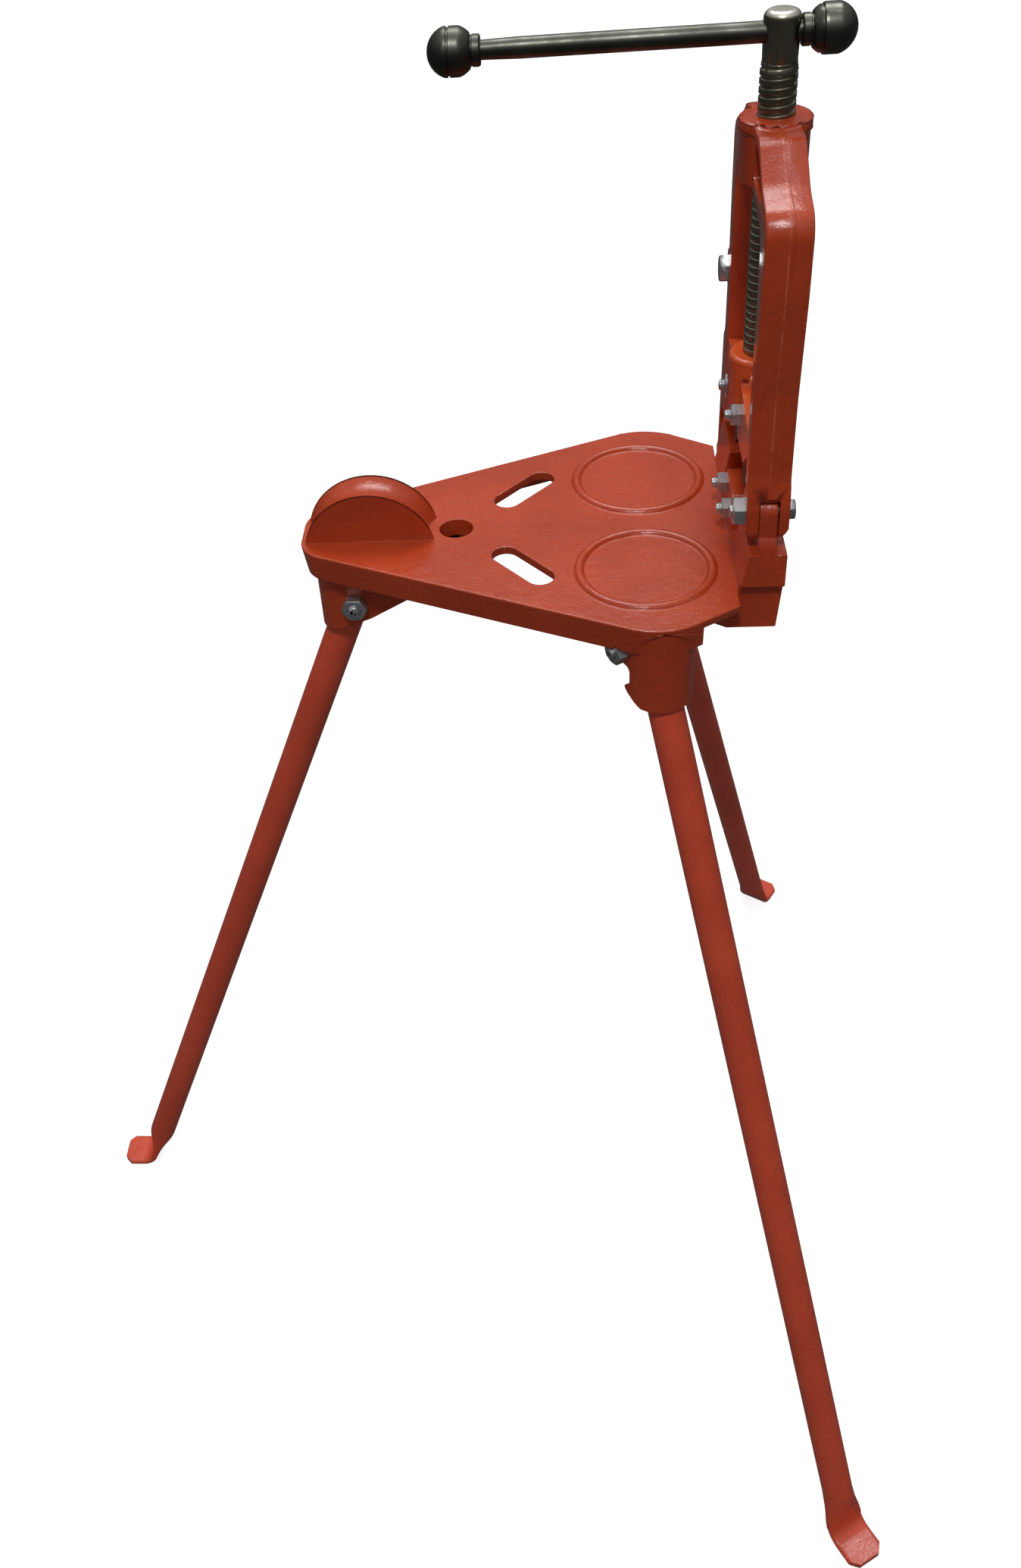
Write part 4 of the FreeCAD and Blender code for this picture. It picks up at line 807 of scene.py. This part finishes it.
# %% Ball ends
BALL_RADIUS = 14.5
BALL_WIDEST = 13.9
COLLAR_RADIUS = 8.9
COLLAR_REACH = 16.7
HANDLE_Z = 323.6
GROOVE_HALF = 0.75
GROOVE_FLOOR = 0.4
GROOVE_DEPTH = 0.9
GROOVE = (
    (-GROOVE_HALF, 0), (-GROOVE_FLOOR, GROOVE_DEPTH), (GROOVE_FLOOR, GROOVE_DEPTH), (GROOVE_HALF, 0),
)
PROFILE_STEPS = 48


def ball_radius(along):
    """The ball's radius at a place along the bar, with its widest part turned flat."""
    return min(BALL_WIDEST, math.sqrt(max(0.0, BALL_RADIUS ** 2 - along ** 2)))


def ball_profile(groove_at, bore):
    """(along, radius) pairs from the outer pole to the bar, along the bar's inward axis."""
    points = []
    step_at = math.sqrt(BALL_RADIUS ** 2 - (COLLAR_RADIUS + 1.0) ** 2)
    for index in range(PROFILE_STEPS + 1):
        along = -BALL_RADIUS * math.cos(math.pi * index / PROFILE_STEPS)
        if along > step_at:
            break
        if abs(along - groove_at) > GROOVE_HALF + 0.5:
            points.append((along, ball_radius(along)))
        elif not points or points[-1][0] < groove_at - GROOVE_HALF - 0.01:
            for offset, depth in GROOVE:
                points.append((groove_at + offset, ball_radius(groove_at + offset) - depth))
    points += [
        (step_at, COLLAR_RADIUS + 0.9), (step_at + 0.5, COLLAR_RADIUS - 0.5),
        (step_at + 1.1, COLLAR_RADIUS - 0.5), (step_at + 1.5, COLLAR_RADIUS),
        (COLLAR_REACH - 0.9, COLLAR_RADIUS), (COLLAR_REACH, COLLAR_RADIUS - 0.9),
        (COLLAR_REACH, bore + 0.7), (COLLAR_REACH - 1.2, bore - 0.1),
    ]
    return points


def turned(profile, centre, inward, steps=64):
    """Spins an (along, radius) profile round the X axis through a centre."""
    bm = bmesh.new()
    verts = [bm.verts.new((along * MM, 0, radius * MM)) for along, radius in profile]
    edges = [bm.edges.new(pair) for pair in zip(verts, verts[1:])]
    bmesh.ops.spin(
        bm, geom=verts + edges, cent=(0, 0, 0), axis=(1, 0, 0), angle=math.tau, steps=steps,
        use_merge=True, use_duplicate=False,
    )
    bmesh.ops.remove_doubles(bm, verts=bm.verts, dist=MERGE)
    bmesh.ops.holes_fill(bm, edges=[edge for edge in bm.edges if edge.is_boundary], sides=0)
    bmesh.ops.scale(bm, vec=(inward, 1, 1), verts=bm.verts)
    bmesh.ops.translate(bm, vec=centre, verts=bm.verts)
    bmesh.ops.recalc_face_normals(bm, faces=bm.faces)
    return bm


BAR_RADIUS = 6.0
NECK_RADIUS = 5.4
HANDLE_ENDS = (
    ("handle_ball_left", -186.9, 1, -2.0, NECK_RADIUS),
    ("handle_ball_right", 27.6, -1, 5.8, BAR_RADIUS),
)
for node, centre_x, inward, groove_at, bore in HANDLE_ENDS:
    end = turned(ball_profile(groove_at, bore), at(centre_x, 0, HANDLE_Z), inward)
    place_piece(end, node + "_turned", "handle", BAR_STEEL, "dark_steel", node)

# %% [markdown]
# The bar is spun too, because its left end tapers down to the neck that enters the ball.

# %% Bar
BAR_LEFT = -192.4
BAR_RIGHT = 33.1
NECK_START = -171.0
NECK_END = -148.0
BAR_LINE = (
    (BAR_LEFT, 0.0), (BAR_LEFT, NECK_RADIUS), (NECK_START, NECK_RADIUS),
    (NECK_END, BAR_RADIUS), (BAR_RIGHT, BAR_RADIUS), (BAR_RIGHT, 0.0),
)
bar = turned(BAR_LINE, at(0, 0, HANDLE_Z), 1, 48)
place_piece(bar, "handle_bar_turned", "handle", BAR_STEEL, "dark_steel", "handle_bar")

# %% [markdown]
# ## Plain solids
# Tubes, nuts, jaws and cross pins keep their CAD meshes, because their shapes are right as they
# are. They only need a finish in their own slots.

# %% Finishes for the solids
SOLID_FINISHES = {
    LEG_PAINT_WITH_PAINTED_LIGHT: ("leg_front", "leg_near", "leg_far"),
    JAW_STEEL: ("lower_jaw", "upper_jaw"),
    SCREW_STEEL: ("screw_retaining_pins",),
    ZINC: ("leg_pivot_nuts", "lower_jaw_nuts", "hinge_nut", "latch_nut", "upper_jaw_nuts"),
}
for material, names in SOLID_FINISHES.items():
    for name in names:
        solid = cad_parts[name]
        for index in range(len(solid.material_slots)):
            solid.material_slots[index].material = material
        print(name, "in", material.name)

# %% [markdown]
# ## Floor
# The floor is pale and endless to the eye. It is white to the camera, a shade less under the
# stand so that the shadow shows. Reflections see it as dim as a workshop's floor would be, or
# every upright face would wear a white haze, and scattered light sees a dark grey.

# %% Floor
FLOOR_HALF = 12.0
FLOOR_DROP = 0.0005

floor_bm = bmesh.new()
bmesh.ops.create_grid(floor_bm, x_segments=1, y_segments=1, size=FLOOR_HALF)
bmesh.ops.translate(floor_bm, verts=floor_bm.verts, vec=(0, 0, -FLOOR_DROP))
floor_mesh = bpy.data.meshes.new("floor")
floor_bm.to_mesh(floor_mesh)
floor_bm.free()
floor = bpy.data.objects.new("floor", floor_mesh)
bpy.context.collection.objects.link(floor)


def seen_directly(tree, path):
    """1 where the camera or a glass sees the surface, and 0 for other light."""
    return math_node(tree, "MAXIMUM", path.outputs["Is Camera Ray"], path.outputs["Is Transmission Ray"])


WHITE = (1.0, 1.0, 1.0, 1.0)
floor_paint = bpy.data.materials.new("floor_paint")
floor_paint.use_nodes = True
tree = floor_paint.node_tree
tree.nodes.remove(tree.nodes["Principled BSDF"])
dim = add(tree, "ShaderNodeBsdfDiffuse", Color=(0.22, 0.22, 0.22, 1.0))
pale = add(tree, "ShaderNodeBsdfDiffuse", Color=(0.36, 0.36, 0.36, 1.0))
glow = add(tree, "ShaderNodeEmission", Color=WHITE)
reach = add(tree, "ShaderNodeVectorMath", {"operation": "LENGTH"})
wire(tree, add(tree, "ShaderNodeTexCoord").outputs["Object"], reach.inputs[0])
wire(tree, remap(tree, reach.outputs["Value"], 0.5, 1.8, 0.86, 1.0), glow.inputs["Strength"])
white = add(tree, "ShaderNodeAddShader")
wire(tree, pale.outputs[0], white.inputs[0])
wire(tree, glow.outputs[0], white.inputs[1])
mirrored = add(tree, "ShaderNodeEmission", Color=WHITE, Strength=0.06)
path = add(tree, "ShaderNodeLightPath")
unseen = add(tree, "ShaderNodeMixShader")
wire(tree, path.outputs["Is Glossy Ray"], unseen.inputs[0])
wire(tree, dim.outputs[0], unseen.inputs[1])
wire(tree, mirrored.outputs[0], unseen.inputs[2])
choice = add(tree, "ShaderNodeMixShader")
wire(tree, seen_directly(tree, path), choice.inputs[0])
wire(tree, unseen.outputs[0], choice.inputs[1])
wire(tree, white.outputs[0], choice.inputs[2])
wire(tree, choice.outputs[0], tree.nodes["Material Output"].inputs["Surface"])
floor_mesh.materials.append(floor_paint)
print("floor", FLOOR_HALF * 2, "m square")

# %% [markdown]
# ## World
# The world is white to the camera as well. For other light it is a room: dark low down and
# brighter towards the ceiling, so that upright faces stay darker than the tops.

# %% World
world = bpy.data.worlds.new("studio")
bpy.context.scene.world = world
world.use_nodes = True
tree = world.node_tree
direction = add(tree, "ShaderNodeNewGeometry")
split = add(tree, "ShaderNodeSeparateXYZ")
wire(tree, direction.outputs["Position"], split.inputs[0])
path = add(tree, "ShaderNodeLightPath")
mirrored = remap(tree, split.outputs["Z"], 0.0, 0.9, 0.06, 0.60)
scattered = remap(tree, split.outputs["Z"], -0.1, 0.9, 0.12, 0.34)
glossy = path.outputs["Is Glossy Ray"]
other = math_node(tree, "SUBTRACT", 1.0, glossy)
from_scattered = math_node(tree, "MULTIPLY", scattered, other)
from_mirrored = math_node(tree, "MULTIPLY", mirrored, glossy)
sky = math_node(tree, "ADD", from_scattered, from_mirrored)
level = math_node(tree, "MAXIMUM", seen_directly(tree, path), sky)
wire(tree, level, tree.nodes["Background"].inputs["Strength"])
tree.nodes["Background"].inputs["Color"].default_value = WHITE
print("world ready")

# %% [markdown]
# ## Lamps
# The ceiling lamp is large and soft and stands behind the vise. The front one is smaller, and
# its reflection is what makes the enamel look wet. The last is tiny: it adds a crisp spark to
# the yoke's slope.

# %% Lamps


def lamp(name, place, target, width, height, power):
    """A rectangular lamp that faces a target."""
    data = bpy.data.lights.new(name, "AREA")
    data.shape = "RECTANGLE"
    data.size = width
    data.size_y = height
    data.energy = power
    holder = bpy.data.objects.new(name, data)
    holder.location = place
    holder.rotation_euler = (Vector(target) - Vector(place)).to_track_quat("-Z", "Y").to_euler()
    bpy.context.collection.objects.link(holder)


lamp("ceiling", place=(0.1, 1.4, 3.4), target=(0.1, 0.0, 0.7), width=2.0, height=1.2, power=42.0)
lamp("front", place=(-0.07, -1.75, 3.5), target=(0.2, 0.0, 0.9), width=0.36, height=0.42, power=33.0)
lamp("spark", place=(0.63, 0.0, 3.5), target=(0.25, 0.0, 1.0), width=0.04, height=0.06, power=3.0)
print("lamps ready")

# %% [markdown]
# ## Camera
# The camera stands in front of the near leg, a little above the handle, and looks down over the
# tray. Its axes are given as three rows: right, down and forward. The lens is shifted a little
# so that the stand is framed without turning the camera.

# %% Camera
IMAGE_WIDTH = 1348
FOCAL_PIXELS = 1955.8
SENSOR = 36.0
SHIFT_RIGHT = 0.0793
SHIFT_UP = -0.0826
CAMERA_PLACE = (0.12351, -0.89517, 1.34596)
RIGHT = Vector((0.99501956, 0.06193534, -0.07810309))
DOWN = Vector((-0.02120219, -0.63410635, -0.77295511))
FORWARD = Vector((-0.0973989, 0.77076141, -0.62963505))

camera_data = bpy.data.cameras.new("camera")
camera_data.sensor_fit = "HORIZONTAL"
camera_data.sensor_width = SENSOR
camera_data.lens = FOCAL_PIXELS * SENSOR / IMAGE_WIDTH
camera_data.shift_x = SHIFT_RIGHT
camera_data.shift_y = SHIFT_UP
camera_data.clip_end = 60.0
camera = bpy.data.objects.new("camera", camera_data)
turn = Matrix((RIGHT, -DOWN, -FORWARD)).transposed()
camera.matrix_world = Matrix.Translation(CAMERA_PLACE) @ turn.to_4x4()
bpy.context.collection.objects.link(camera)
bpy.context.scene.camera = camera
bpy.context.scene.view_settings.view_transform = "Standard"
print("lens", round(camera_data.lens, 2))

# %% [markdown]
# ## End

# %% Finish
print("scene ready")
